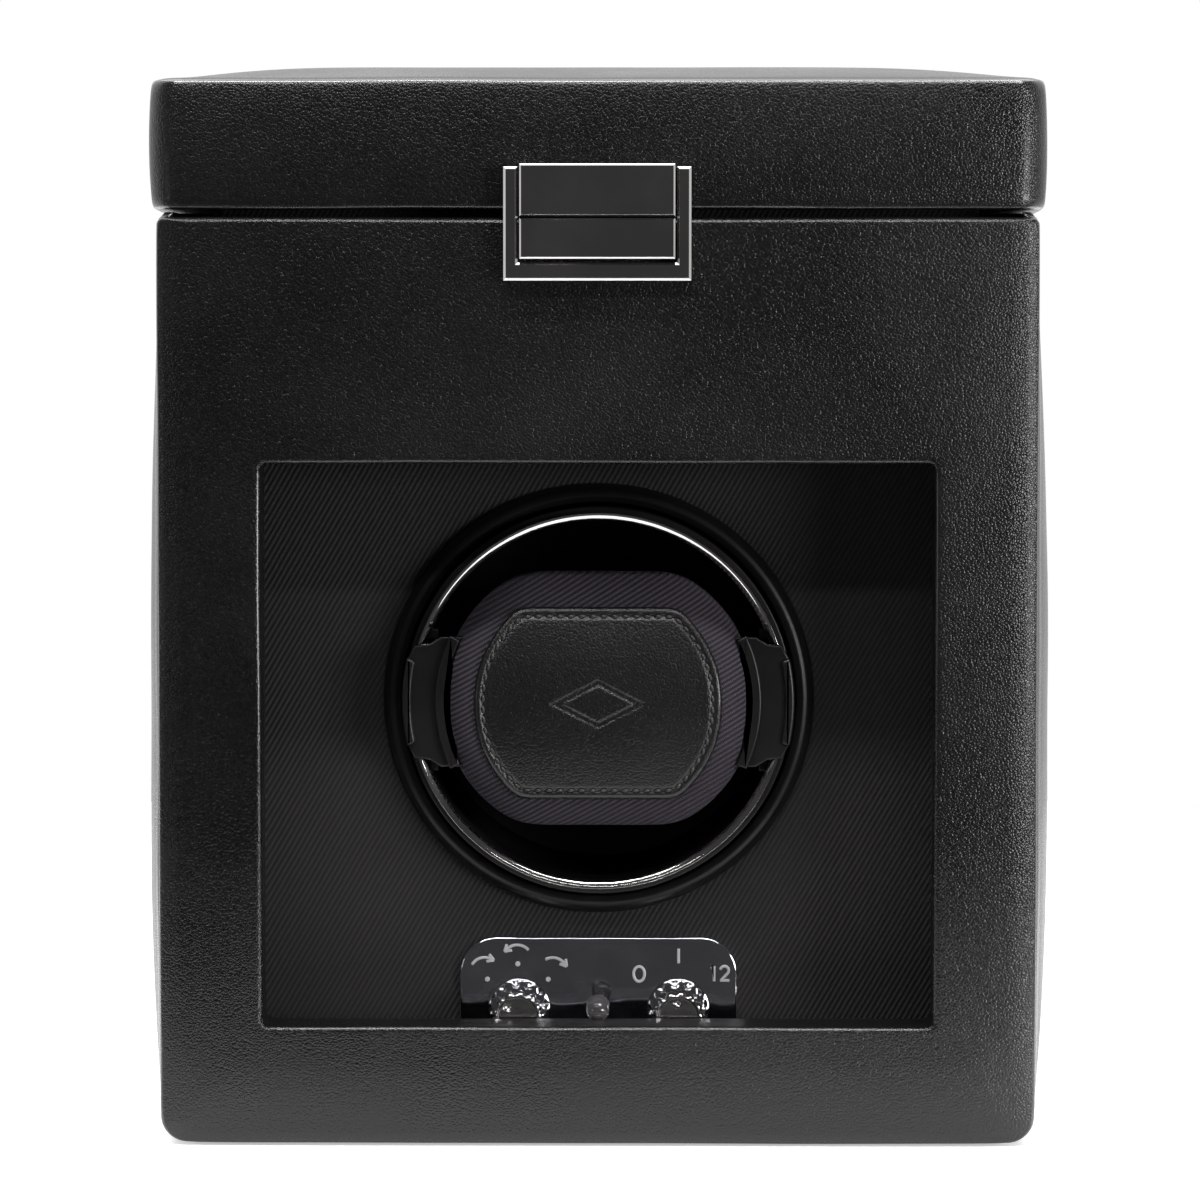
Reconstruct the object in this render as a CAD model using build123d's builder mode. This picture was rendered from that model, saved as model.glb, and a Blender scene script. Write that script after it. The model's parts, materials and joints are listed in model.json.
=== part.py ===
from build123d import *
import math
import os

# Watch winder box: a leather-wrapped case with a motor-driven drum behind a front window,
# a storage compartment on top and a padded, hinged lid with a flap latch.
# Millimetres. +Z is up and the front faces -Y. The origin is on the floor under the centre.

# ---- Case ----
CASE_HALF_W = 94.0       # front and rear panels, centre to edge
SIDE_CROWN_X = 100.0     # crest of the padded side panels
CASE_BOTTOM_Z = 1.0
CASE_TOP_Z = 198.7
RIM_Z = 199.8            # leather turned over the side boards, just under the closed lid
FRONT_Y = -100.0
REAR_Y = 100.0
WRAP = 3.0               # leather and thin backing on the front and rear
SKIN = 1.2               # leather alone
TURN = 1.5               # leather turned over a board's edge
CORNER_R = 6.0

BOARD_HALF_W = 91.0
SIDE_BOARD_T = 9.0
FRONT_BOARD_T = 13.5
BACK_BOARD_T = 9.0
BASE_TOP_Z = 10.5
SHELF_Z = (150.0, 156.0)
PAD_Z = (0.0, 1.0)

# ---- Front window ----
WINDOW_HALF_W = 72.2
WINDOW_Z = (25.3, 146.1)
WINDOW_R = 1.2

# ---- Winder module ----
MODULE_Y = (-69.0, -62.4)
DRUM_Z = 94.0
BEZEL_R = 47.3
CUP_R = 42.4
CUP_BORE_R = 39.4
HOUSING_R = 47.0
HOUSING_BORE_R = 45.0
HOUSING_FLANGE_R = 53.0
FLANGE_BACK_Y = -60.4
FLANGE_SCREW_CIRCLE_R = 50.0
FLANGE_SCREW_R = 1.0
BOARD_HOLE_R = 44.2
SHAFT_R = 2.95
BUSH_BORE_R = 3.0
PULLEY_R = 24.0
MOTOR_PULLEY_R = 6.0
FLANGE_LIP = 1.5
MOTOR_X = 56.0
MOTOR_Z = 40.0
MOTOR_SHAFT_R = 1.5
BELT_T = 1.0
BELT_HALF_W = 2.5
BELT_GAP = 0.15

# ---- Controls ----
KNOB_X = 17.5
KNOB_Z = 25.4
KNOB_BASE_R = 6.8
KNOB_TIP_R = 5.4
KNOB_Y = (-82.5, -70.8)
FLUTES = 13
PLATE_HALF_W = 30.5
PLATE_Z = (14.0, 41.3)
PLATE_T = 1.5
PLATE_CORNER_R = 8.0
PCB_Y = (-57.5, -55.9)
PCB_HALF_W = 34.0
PCB_Z = (13.0, 44.0)
SWITCH_HALF_W = 6.5
SPINDLE_TIP_Y = -79.5
SPINDLE_HOLE_R = 3.5
FACE_RECESS = 0.5
POINTER_R = 2.9
POINTER_DIMPLE_R = 0.9
DIRECTION_POINTER = 135.0    # degrees from +X, turning towards +Z
POWER_POINTER = 92.0
LED_Z = 28.2
LED_R = 2.5
LED_TIP_Y = -90.0

# ---- Storage ----
LIP_TOP_Z = 206.0
LINER_T = 2.5
CROSS_WALL_Y = (14.0, 17.0)
DIVIDER_X = 26.5
DIVIDER_TOP_Z = 192.0
PILLOW_SIZE = (46.0, 74.0, 38.0)
PILLOW_X = 53.0

# ---- Lid ----
LID_BOTTOM_Z = 200.2
LID_HALF_W = 95.0
LID_CROWN_X = 98.4
LID_EDGE_Z = 226.5
LID_CROWN_Z = 235.0
LID_FRAME_Z = (201.7, 217.0)
LID_BOARD_Z = (217.0, 223.0)
LID_INNER_HALF_W = 83.0
LID_INNER_Y = (-86.0, 89.0)
CROWN_SPAN = 110.0       # more than half the lid, for the bodies that shape its crown

# ---- Rear hinges ----
HINGE_Y = 102.5
HINGE_Z = 199.35
HINGE_X = 60.0
KNUCKLE_R = 2.5
KNUCKLES = 5
HINGE_W = 30.0
KNUCKLE_GAP = 0.2
LEAF_T = 1.2
HINGE_PIN_R = 1.0
HINGE_BORE_R = 1.05

# ---- Front latch ----
LATCH_Y = -105.0
LATCH_FRAME_HALF_W = 19.85
LATCH_FRAME_Z = (185.2, 209.2)
LATCH_BAR_TOP_Z = 189.0
LATCH_HALF_W = 16.45
LATCH_PLATE_Z = (198.7, 209.8)
FLAP_BOTTOM_Z = 189.8
FLAP_T = 2.4
FLAP_AXIS_Y = LATCH_Y + FLAP_T / 2
FLAP_AXIS_Z = 197.1
LUG_W = 1.2
STUD_R = 1.2
STUD_DEPTH_Y = -91.0

# ---- Cuff ----
CUFF_PILLOW_Y = (-85.0, -49.0)
CUFF_PILLOW = (20.5, 28.3, 32.5)     # half width of the straight edge, half height, half width at the bow
CUFF_PATCH = (17.4, 20.9, 26.8)
CUFF_PATCH_T = 1.2
CORE_HALF_X = 30.0
CORE_Y = (-72.0, -58.0)
CORE_HALF_H = 12.0
WING_Y = (-81.0, -78.8)
WING_INNER_X = 29.0
WING_BODY_X = 36.6
WING_REACH = 42.7
WING_DEPTH_Y = -54.0

# ---- Rear cover and power inlet ----
COVER_Z = 80.0
COVER_SIZE = (124.0, 104.0)
COVER_T = 2.5
COVER_OPENING = (110.0, 90.0)
COVER_SCREWS = (117.0, 97.0)
JACK_X = -40.0
JACK_Z = 52.0
JACK_R = 5.0
SCREW_R = 1.4
SCREW_HEAD_R = 2.8
SCREW_HEAD_H = 1.2
SCREW_LENGTH = 8.0

os.makedirs("parts", exist_ok=True)


def save(piece, name):
    """Label a finished piece and write it as its own file."""
    piece.part.label = name
    export_step(piece.part, f"parts/{name}.step")


def block(x, y, z, mode=Mode.ADD):
    """Box between (low, high) spans, joined to or cut from the open part."""
    middle = ((x[0] + x[1]) / 2, (y[0] + y[1]) / 2, (z[0] + z[1]) / 2)
    with Locations(middle):
        Box(x[1] - x[0], y[1] - y[0], z[1] - z[0], mode=mode)


def front_plane(y, x=0.0, z=0.0):
    """Sketch plane facing the front, with +X to the right and +Z up."""
    return Plane(origin=(x, y, z), x_dir=(1, 0, 0), z_dir=(0, -1, 0))


def side_plane(x):
    """Sketch plane facing +X, with +Y as its first axis and +Z up."""
    return Plane(origin=(x, 0, 0), x_dir=(0, 1, 0), z_dir=(1, 0, 0))


def turned(profile, x, z):
    """Solid of revolution about a front-to-back axis, from (radius, y) points."""
    with BuildPart() as piece:
        with BuildSketch(Plane(origin=(x, 0, z), x_dir=(1, 0, 0), z_dir=(0, 0, 1))):
            with BuildLine():
                Polyline(*profile, close=True)
            make_face()
        revolve(axis=Axis((x, 0, z), (0, 1, 0)))
    return piece


def rear_screw(x, z, head_y):
    """Pan-head screw driven forward from the rear, with its head resting at head_y."""
    profile = [
        (0, head_y - SCREW_LENGTH),
        (SCREW_R, head_y - SCREW_LENGTH),
        (SCREW_R, head_y),
        (SCREW_HEAD_R, head_y),
        (SCREW_HEAD_R, head_y + SCREW_HEAD_H * 0.6),
        (SCREW_HEAD_R * 0.75, head_y + SCREW_HEAD_H),
        (0, head_y + SCREW_HEAD_H),
    ]
    return turned(profile, x, z).part


def screw_holes(places, y, radius):
    """Front-to-back holes at (x, z) places, cut over the span y."""
    for x, z in places:
        with Locations(Location((x, (y[0] + y[1]) / 2, z), (90, 0, 0))):
            Cylinder(radius, y[1] - y[0], mode=Mode.SUBTRACT)


def barrel_outline(plane, top_half_w, half_h, half_w):
    """Face with a straight top and bottom and bowed ends."""
    with BuildSketch(plane) as outline:
        with BuildLine():
            Line((-top_half_w, half_h), (top_half_w, half_h))
            ThreePointArc((top_half_w, half_h), (half_w, 0), (top_half_w, -half_h))
            Line((top_half_w, -half_h), (-top_half_w, -half_h))
            ThreePointArc((-top_half_w, -half_h), (-half_w, 0), (-top_half_w, half_h))
        make_face()
    return outline.sketch


def side_bow(edge_x, crown_x, inner_x):
    """Plan of a padded side: flat on the board, bowed outwards, front to rear."""
    end_y = REAR_Y - WRAP
    with BuildSketch(Plane.XY.offset(CASE_BOTTOM_Z)) as plan:
        with BuildLine():
            ThreePointArc((edge_x, -end_y), (crown_x, 0), (edge_x, end_y))
            Polyline((edge_x, end_y), (inner_x, end_y), (inner_x, -end_y), (edge_x, -end_y))
        make_face()
    return plan.sketch


window_h = WINDOW_Z[1] - WINDOW_Z[0]
window_mid_z = (WINDOW_Z[0] + WINDOW_Z[1]) / 2
board_top_z = CASE_TOP_Z - TURN
front_board_y = (FRONT_Y + WRAP, FRONT_Y + WRAP + FRONT_BOARD_T)
back_board_y = (REAR_Y - WRAP - BACK_BOARD_T, REAR_Y - WRAP)
inner_half_w = BOARD_HALF_W - SIDE_BOARD_T
inner_y = (front_board_y[1], back_board_y[0])
side_height = CASE_TOP_Z - CASE_BOTTOM_Z
foam_height = board_top_z - CASE_BOTTOM_Z
cover_screw_places = [
    (sx * COVER_SCREWS[0] / 2, COVER_Z + sz * COVER_SCREWS[1] / 2) for sx in (-1, 1) for sz in (-1, 1)
]
hinge_screw_places = [sign * HINGE_X + offset for sign in (-1, 1) for offset in (-9.0, 9.0)]
body_leaf_screw_z = 190.0
lid_leaf_screw_z = 208.5
body_leaf_screw_places = [(x, body_leaf_screw_z) for x in hinge_screw_places]
lid_leaf_screw_places = [(x, lid_leaf_screw_z) for x in hinge_screw_places]
knob_places = [(-KNOB_X, KNOB_Z), (KNOB_X, KNOB_Z)]
flange_screw_places = [
    (
        FLANGE_SCREW_CIRCLE_R * math.cos(math.radians(angle)),
        DRUM_Z + FLANGE_SCREW_CIRCLE_R * math.sin(math.radians(angle)),
    )
    for angle in (45, 135, 225, 315)
]
latch_stud_places = [(-15.0, 187.1), (15.0, 187.1)]
plate_stud_places = [(-9.0, 204.5), (9.0, 204.5)]

# ---------------------------------------------------------------- case boards
with BuildPart() as base_pad:
    with BuildSketch(Plane.XY):
        RectangleRounded(152.0, 164.0, 8.0)
    extrude(amount=PAD_Z[1])
save(base_pad, "base_pad")

with BuildPart() as base_board:
    block((-BOARD_HALF_W, BOARD_HALF_W), (front_board_y[0], back_board_y[1]), (CASE_BOTTOM_Z, BASE_TOP_Z))
    fillet(base_board.edges().filter_by(Axis.Y).group_by(Axis.Z)[0], radius=5.0)
save(base_board, "base_board")

with BuildPart() as side_board_right:
    block((inner_half_w, BOARD_HALF_W), inner_y, (BASE_TOP_Z, board_top_z))
save(side_board_right, "side_board_right")

with BuildPart() as side_board_left:
    block((-BOARD_HALF_W, -inner_half_w), inner_y, (BASE_TOP_Z, board_top_z))
save(side_board_left, "side_board_left")

with BuildPart() as front_board:
    block((-BOARD_HALF_W, BOARD_HALF_W), front_board_y, (BASE_TOP_Z, board_top_z))
    with BuildSketch(front_plane(front_board_y[0], z=window_mid_z)):
        Rectangle(2 * (WINDOW_HALF_W + TURN), window_h + 2 * TURN)
    extrude(amount=-FRONT_BOARD_T, mode=Mode.SUBTRACT)
    screw_holes(latch_stud_places, (front_board_y[0] - 1, STUD_DEPTH_Y), STUD_R)
save(front_board, "front_board")

with BuildPart() as back_board:
    block((-BOARD_HALF_W, BOARD_HALF_W), back_board_y, (BASE_TOP_Z, board_top_z))
    with BuildSketch(front_plane(back_board_y[0], z=COVER_Z)):
        Rectangle(*COVER_OPENING)
    extrude(amount=-BACK_BOARD_T, mode=Mode.SUBTRACT)
    pilot_y = (back_board_y[0], back_board_y[1] + 1)
    screw_holes(cover_screw_places + body_leaf_screw_places, pilot_y, SCREW_R)
save(back_board, "back_board")

with BuildPart() as mid_shelf:
    block((-inner_half_w, inner_half_w), inner_y, SHELF_Z)
save(mid_shelf, "mid_shelf")

# ---------------------------------------------------------------- case leather
with BuildPart() as front_leather:
    block((-CASE_HALF_W, CASE_HALF_W), (FRONT_Y, front_board_y[0]), (CASE_BOTTOM_Z, CASE_TOP_Z))
    fillet(front_leather.edges().filter_by(Axis.Y).group_by(Axis.Z)[0], radius=CORNER_R)
    block((-BOARD_HALF_W, BOARD_HALF_W), front_board_y, (board_top_z, CASE_TOP_Z))
    with BuildSketch(front_plane(front_board_y[0], z=window_mid_z)):
        Rectangle(2 * (WINDOW_HALF_W + TURN), window_h + 2 * TURN)
    extrude(amount=-FRONT_BOARD_T)
    with BuildSketch(front_plane(front_board_y[1], z=window_mid_z)):
        RectangleRounded(2 * WINDOW_HALF_W, window_h, WINDOW_R)
    extrude(amount=WRAP + FRONT_BOARD_T, mode=Mode.SUBTRACT)
    screw_holes(latch_stud_places, (FRONT_Y, front_board_y[0]), STUD_R)
save(front_leather, "front_leather")

with BuildPart() as back_leather:
    block((-CASE_HALF_W, CASE_HALF_W), (back_board_y[1], REAR_Y), (CASE_BOTTOM_Z, CASE_TOP_Z))
    fillet(back_leather.edges().filter_by(Axis.Y).group_by(Axis.Z)[0], radius=CORNER_R)
    block((-BOARD_HALF_W, BOARD_HALF_W), back_board_y, (board_top_z, CASE_TOP_Z))
    with BuildSketch(front_plane(back_board_y[1], z=COVER_Z)):
        RectangleRounded(COVER_SIZE[0] + 0.6, COVER_SIZE[1] + 0.6, 5.3)
    extrude(amount=-WRAP, mode=Mode.SUBTRACT)
    screw_holes(body_leaf_screw_places, (back_board_y[1], REAR_Y), SCREW_R)
save(back_leather, "back_leather")

with BuildPart() as side_foam_right:
    extrude(side_bow(CASE_HALF_W - SKIN, SIDE_CROWN_X - SKIN, BOARD_HALF_W), amount=foam_height)
save(side_foam_right, "side_foam_right")

with BuildPart() as side_foam_left:
    mirror(side_foam_right.part, about=Plane.YZ)
save(side_foam_left, "side_foam_left")

with BuildPart() as side_leather_right:
    extrude(side_bow(CASE_HALF_W, SIDE_CROWN_X, BOARD_HALF_W), amount=side_height)
    extrude(
        side_bow(CASE_HALF_W - SKIN, SIDE_CROWN_X - SKIN, BOARD_HALF_W - 1),
        amount=foam_height,
        mode=Mode.SUBTRACT,
    )
    block((inner_half_w, BOARD_HALF_W + TURN), inner_y, (board_top_z, RIM_Z))
save(side_leather_right, "side_leather_right")

with BuildPart() as side_leather_left:
    mirror(side_leather_right.part, about=Plane.YZ)
save(side_leather_left, "side_leather_left")

# ---------------------------------------------------------------- storage
with BuildPart() as storage_liner:
    block((-inner_half_w, inner_half_w), inner_y, (SHELF_Z[1], LIP_TOP_Z))
    block(
        (-inner_half_w + LINER_T, inner_half_w - LINER_T),
        (inner_y[0] + LINER_T, inner_y[1] - LINER_T),
        (SHELF_Z[1] + 2.0, LIP_TOP_Z),
        mode=Mode.SUBTRACT,
    )
    fillet(storage_liner.edges().group_by(Axis.Z)[-1], radius=1.0)
save(storage_liner, "storage_liner")

storage_floor_z = SHELF_Z[1] + 2.0
liner_inner_half_w = inner_half_w - LINER_T
liner_inner_y = (inner_y[0] + LINER_T, inner_y[1] - LINER_T)

with BuildPart() as storage_dividers:
    block((-liner_inner_half_w, liner_inner_half_w), CROSS_WALL_Y, (storage_floor_z, DIVIDER_TOP_Z))
    for sign in (-1, 1):
        middle_x = sign * DIVIDER_X
        block(
            (middle_x - 1.25, middle_x + 1.25),
            (liner_inner_y[0], CROSS_WALL_Y[0]),
            (storage_floor_z, DIVIDER_TOP_Z),
        )
    fillet(storage_dividers.edges().group_by(Axis.Z)[-1].filter_by(GeomType.LINE), radius=0.8)
save(storage_dividers, "storage_dividers")

pillow_mid_y = (liner_inner_y[0] + CROSS_WALL_Y[0]) / 2
pillow_mid_z = storage_floor_z + 0.3 + PILLOW_SIZE[2] / 2
for pillow_name, pillow_x in (("left", -PILLOW_X), ("centre", 0.0), ("right", PILLOW_X)):
    with BuildPart() as storage_pillow:
        with BuildSketch(side_plane(pillow_x - PILLOW_SIZE[0] / 2)):
            with Locations((pillow_mid_y, pillow_mid_z)):
                RectangleRounded(PILLOW_SIZE[1], PILLOW_SIZE[2], 16.0)
        extrude(amount=PILLOW_SIZE[0])
        end_faces = storage_pillow.faces().filter_by(Axis.X)
        fillet(end_faces.edges(), radius=3.0)
    save(storage_pillow, f"storage_pillow_{pillow_name}")

# ---------------------------------------------------------------- winder bay and module board
with BuildPart() as bay_lining:
    lining_y = (inner_y[0], MODULE_Y[0])
    block((-inner_half_w, inner_half_w), lining_y, (BASE_TOP_Z, SHELF_Z[0]))
    block(
        (-inner_half_w + TURN, inner_half_w - TURN),
        lining_y,
        (BASE_TOP_Z + TURN, SHELF_Z[0] - TURN),
        mode=Mode.SUBTRACT,
    )
save(bay_lining, "bay_lining")

with BuildPart() as module_board:
    block((-inner_half_w, inner_half_w), MODULE_Y, (BASE_TOP_Z, SHELF_Z[0]))
    screw_holes([(0.0, DRUM_Z)], MODULE_Y, BOARD_HOLE_R)
    screw_holes(knob_places, MODULE_Y, SPINDLE_HOLE_R)
    screw_holes([(0.0, LED_Z)], MODULE_Y, LED_R + 0.1)
    screw_holes(flange_screw_places, (MODULE_Y[1] - 5.0, MODULE_Y[1]), FLANGE_SCREW_R)
save(module_board, "module_board")

with BuildPart() as bezel_ring:
    with BuildSketch(Plane.XY.offset(DRUM_Z)):
        with BuildLine():
            Polyline((43.2, -72.4), (43.2, -63.0), (44.0, -63.0), (44.0, -69.0), (BEZEL_R, -69.0))
            ThreePointArc((BEZEL_R, -69.0), (46.4, -71.7), (44.2, -73.0))
            Line((44.2, -73.0), (43.2, -72.4))
        make_face()
    revolve(axis=Axis((0, 0, DRUM_Z), (0, 1, 0)))
save(bezel_ring, "bezel_ring")

drum_housing = turned(
    [
        (6.0, -24.0), (9.0, -24.0), (9.0, -22.0), (HOUSING_BORE_R, -22.0), (HOUSING_BORE_R, MODULE_Y[1]),
        (HOUSING_FLANGE_R, MODULE_Y[1]), (HOUSING_FLANGE_R, FLANGE_BACK_Y), (HOUSING_R, FLANGE_BACK_Y),
        (HOUSING_R, -19.0), (9.0, -19.0), (9.0, -6.0), (6.0, -6.0),
    ],
    0.0,
    DRUM_Z,
)
with drum_housing:
    screw_holes(flange_screw_places, (MODULE_Y[1], FLANGE_BACK_Y), FLANGE_SCREW_R)
save(drum_housing, "drum_housing")

with BuildPart() as module_screws:
    for screw_x, screw_z in flange_screw_places:
        screw_profile = [
            (0, -67.0), (FLANGE_SCREW_R, -67.0), (FLANGE_SCREW_R, FLANGE_BACK_Y), (1.9, FLANGE_BACK_Y),
            (1.9, -59.8), (1.4, -59.3), (0, -59.3),
        ]
        add(turned(screw_profile, screw_x, screw_z).part)
save(module_screws, "module_screws")

bush_front = [
    (BUSH_BORE_R, -25.0), (8.0, -25.0), (8.0, -24.0), (6.0, -24.0), (6.0, -17.0), (BUSH_BORE_R, -17.0),
]
bush_rear = [
    (BUSH_BORE_R, -13.0), (6.0, -13.0), (6.0, -6.0), (8.0, -6.0), (8.0, -5.0), (BUSH_BORE_R, -5.0),
]
with BuildPart() as drum_bushes:
    add(turned(bush_front, 0.0, DRUM_Z).part)
    add(turned(bush_rear, 0.0, DRUM_Z).part)
save(drum_bushes, "drum_bushes")

# ---------------------------------------------------------------- drum
drum_cup = turned(
    [
        (0, -30.0), (CUP_BORE_R, -30.0), (CUP_BORE_R, -76.0), (CUP_R, -76.0), (CUP_R, -27.0),
        (7.0, -27.0), (7.0, -25.2), (SHAFT_R, -25.2), (SHAFT_R, -29.0), (0, -29.0),
    ],
    0.0,
    DRUM_Z,
)
with drum_cup:
    for side in (-1, 1):
        for height in (-1, 1):
            block(
                sorted((side * 35.0, side * 37.6)),
                (-74.0, -30.0),
                sorted((DRUM_Z + height * 13.2, DRUM_Z + height * 15.6)),
            )
save(drum_cup, "drum_cup")

chrome_ring = turned(
    [
        (CUP_BORE_R, -76.0), (CUP_BORE_R + 0.1, -77.9), (CUP_BORE_R + 0.6, -78.5), (40.7, -78.5),
        (41.1, -78.1), (41.2, -76.0),
    ],
    0.0,
    DRUM_Z,
)
save(chrome_ring, "chrome_ring")

drum_shaft = turned(
    [(0, -29.0), (SHAFT_R, -29.0), (SHAFT_R, 8.4), (SHAFT_R - 0.6, 9.0), (0, 9.0)],
    0.0,
    DRUM_Z,
)
save(drum_shaft, "drum_shaft")

drum_pulley = turned(
    [
        (SHAFT_R, -4.7), (7.0, -4.7), (7.0, -1.5), (20.0, -1.5), (20.0, -3.8), (PULLEY_R + FLANGE_LIP, -3.8),
        (PULLEY_R + FLANGE_LIP, -2.8), (PULLEY_R, -2.8), (PULLEY_R, 2.8), (PULLEY_R + FLANGE_LIP, 2.8),
        (PULLEY_R + FLANGE_LIP, 3.8), (20.0, 3.8), (20.0, 1.5), (7.0, 1.5), (7.0, 5.0), (SHAFT_R, 5.0),
    ],
    0.0,
    DRUM_Z,
)
save(drum_pulley, "drum_pulley")

# ---------------------------------------------------------------- motor and belt
gearmotor = turned(
    [
        (MOTOR_SHAFT_R + 0.05, -12.5), (0, -12.5), (0, -54.0), (9.0, -54.0), (9.0, -53.0), (12.0, -52.0),
        (12.0, -24.0), (13.5, -24.0), (13.5, -8.0), (4.0, -8.0), (4.0, -6.0), (MOTOR_SHAFT_R + 0.05, -6.0),
    ],
    MOTOR_X,
    MOTOR_Z,
)
save(gearmotor, "gearmotor")

with BuildPart() as motor_bracket:
    block((MOTOR_X - 14, MOTOR_X + 14), (-8.0, -6.5), (BASE_TOP_Z, MOTOR_Z + 15))
    block((MOTOR_X - 14, MOTOR_X + 14), (-6.5, 12.0), (BASE_TOP_Z, BASE_TOP_Z + 1.5))
    screw_holes([(MOTOR_X, MOTOR_Z)], (-8.0, -6.5), 4.0)
    with Locations((MOTOR_X - 8, 5.0, BASE_TOP_Z + 0.75), (MOTOR_X + 8, 5.0, BASE_TOP_Z + 0.75)):
        Cylinder(1.7, 1.5, mode=Mode.SUBTRACT)
    fillet(motor_bracket.edges().filter_by(Axis.Y).group_by(Axis.Z)[-1], radius=4.0)
save(motor_bracket, "motor_bracket")

motor_pulley = turned(
    [
        (0, -12.0), (MOTOR_SHAFT_R, -12.0), (MOTOR_SHAFT_R, -4.4), (4.0, -4.4), (4.0, -3.8),
        (MOTOR_PULLEY_R + FLANGE_LIP, -3.8), (MOTOR_PULLEY_R + FLANGE_LIP, -2.8),
        (MOTOR_PULLEY_R, -2.8), (MOTOR_PULLEY_R, 2.8),
        (MOTOR_PULLEY_R + FLANGE_LIP, 2.8), (MOTOR_PULLEY_R + FLANGE_LIP, 3.8), (0, 3.8),
    ],
    MOTOR_X,
    MOTOR_Z,
)
save(motor_pulley, "motor_pulley")


def belt_loop(gap):
    """Face wrapped round both pulleys at a gap from their running surfaces."""
    with BuildSketch(front_plane(BELT_HALF_W)) as loop:
        with Locations((0, DRUM_Z)):
            Circle(PULLEY_R + gap)
        with Locations((MOTOR_X, MOTOR_Z)):
            Circle(MOTOR_PULLEY_R + gap)
        make_hull(loop.edges())
    return loop.sketch


with BuildPart() as drive_belt:
    extrude(belt_loop(BELT_GAP + BELT_T), amount=2 * BELT_HALF_W)
    extrude(belt_loop(BELT_GAP), amount=2 * BELT_HALF_W, mode=Mode.SUBTRACT)
save(drive_belt, "drive_belt")

# ---------------------------------------------------------------- controls
pcb_hole_places = [(sx * (PCB_HALF_W - 3.0), z) for sx in (-1, 1) for z in (PCB_Z[0] + 3.0, PCB_Z[1] - 3.0)]
with BuildPart() as control_board:
    block((-PCB_HALF_W, PCB_HALF_W), PCB_Y, PCB_Z)
    screw_holes(pcb_hole_places, PCB_Y, 1.2)
save(control_board, "control_board")

with BuildPart() as rotary_switches:
    for switch_x, switch_z in knob_places:
        block(
            (switch_x - SWITCH_HALF_W, switch_x + SWITCH_HALF_W),
            (MODULE_Y[1], PCB_Y[0]),
            (switch_z - SWITCH_HALF_W, switch_z + SWITCH_HALF_W),
        )
    screw_holes(knob_places, (MODULE_Y[1], MODULE_Y[1] + 4.0), BUSH_BORE_R)
save(rotary_switches, "rotary_switches")

with BuildPart() as control_plate:
    with BuildSketch(front_plane(MODULE_Y[0], z=(PLATE_Z[0] + PLATE_Z[1]) / 2)) as plate_face:
        Rectangle(2 * PLATE_HALF_W, PLATE_Z[1] - PLATE_Z[0])
        fillet(plate_face.vertices().group_by(Axis.Z)[-1], radius=PLATE_CORNER_R)
    extrude(amount=PLATE_T)
    plate_y = (MODULE_Y[0] - PLATE_T, MODULE_Y[0])
    screw_holes(knob_places, plate_y, SPINDLE_HOLE_R)
    screw_holes([(0.0, LED_Z)], plate_y, LED_R + 0.1)
save(control_plate, "control_plate")

with BuildPart() as status_led:
    with BuildSketch(Plane.XY.offset(LED_Z)):
        with BuildLine():
            Polyline((0, LED_TIP_Y), (0, PCB_Y[0]), (LED_R, PCB_Y[0]), (LED_R, LED_TIP_Y + LED_R))
            RadiusArc((LED_R, LED_TIP_Y + LED_R), (0, LED_TIP_Y), LED_R)
        make_face()
    revolve(axis=Axis((0, 0, LED_Z), (0, 1, 0)))
save(status_led, "status_led")

knob_face_y = KNOB_Y[0] + FACE_RECESS
knob_length = KNOB_Y[1] - KNOB_Y[0]
knob_profile = [
    (0, knob_face_y), (4.2, knob_face_y), (4.6, KNOB_Y[0]), (KNOB_TIP_R, KNOB_Y[0] + 0.6),
    (6.2, KNOB_Y[1] - 1.3), (KNOB_BASE_R, KNOB_Y[1] - 1.0), (KNOB_BASE_R, KNOB_Y[1]),
    (SHAFT_R, KNOB_Y[1]), (SHAFT_R, SPINDLE_TIP_Y), (0, SPINDLE_TIP_Y),
]
spindle_end_y = MODULE_Y[1] + 3.6
spindle_profile = [(0, SPINDLE_TIP_Y), (SHAFT_R, SPINDLE_TIP_Y), (SHAFT_R, spindle_end_y), (0, spindle_end_y)]
flute_align = (Align.CENTER, Align.CENTER, Align.MIN)
for knob_name, knob_x, pointer_deg in (
    ("direction", -KNOB_X, DIRECTION_POINTER),
    ("power", KNOB_X, POWER_POINTER),
):
    knob = turned(knob_profile, knob_x, KNOB_Z)
    with knob:
        with Locations(front_plane(KNOB_Y[1] - 1.3, knob_x, KNOB_Z)):
            with PolarLocations(KNOB_BASE_R + 0.45, FLUTES):
                Cylinder(1.15, knob_length, align=flute_align, mode=Mode.SUBTRACT)
        pointer = math.radians(pointer_deg)
        pointer_place = (
            knob_x + POINTER_R * math.cos(pointer),
            knob_face_y,
            KNOB_Z + POINTER_R * math.sin(pointer),
        )
        with Locations(pointer_place):
            Sphere(POINTER_DIMPLE_R, mode=Mode.SUBTRACT)
        add(turned(spindle_profile, knob_x, KNOB_Z).part)
    save(knob, f"knob_{knob_name}")

# ---------------------------------------------------------------- rear cover and inlet
with BuildPart() as rear_cover:
    with BuildSketch(front_plane(back_board_y[1], z=COVER_Z)):
        RectangleRounded(*COVER_SIZE, 5.0)
    extrude(amount=-COVER_T)
    cover_y = (back_board_y[1], back_board_y[1] + COVER_T)
    with BuildSketch(front_plane(cover_y[0], z=COVER_Z)):
        with GridLocations(0, 5.0, 1, 7):
            SlotOverall(34.0, 2.2)
    extrude(amount=-COVER_T, mode=Mode.SUBTRACT)
    screw_holes(cover_screw_places, cover_y, SCREW_R + 0.2)
    screw_holes([(JACK_X, JACK_Z)], cover_y, JACK_R)
save(rear_cover, "rear_cover")

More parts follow.
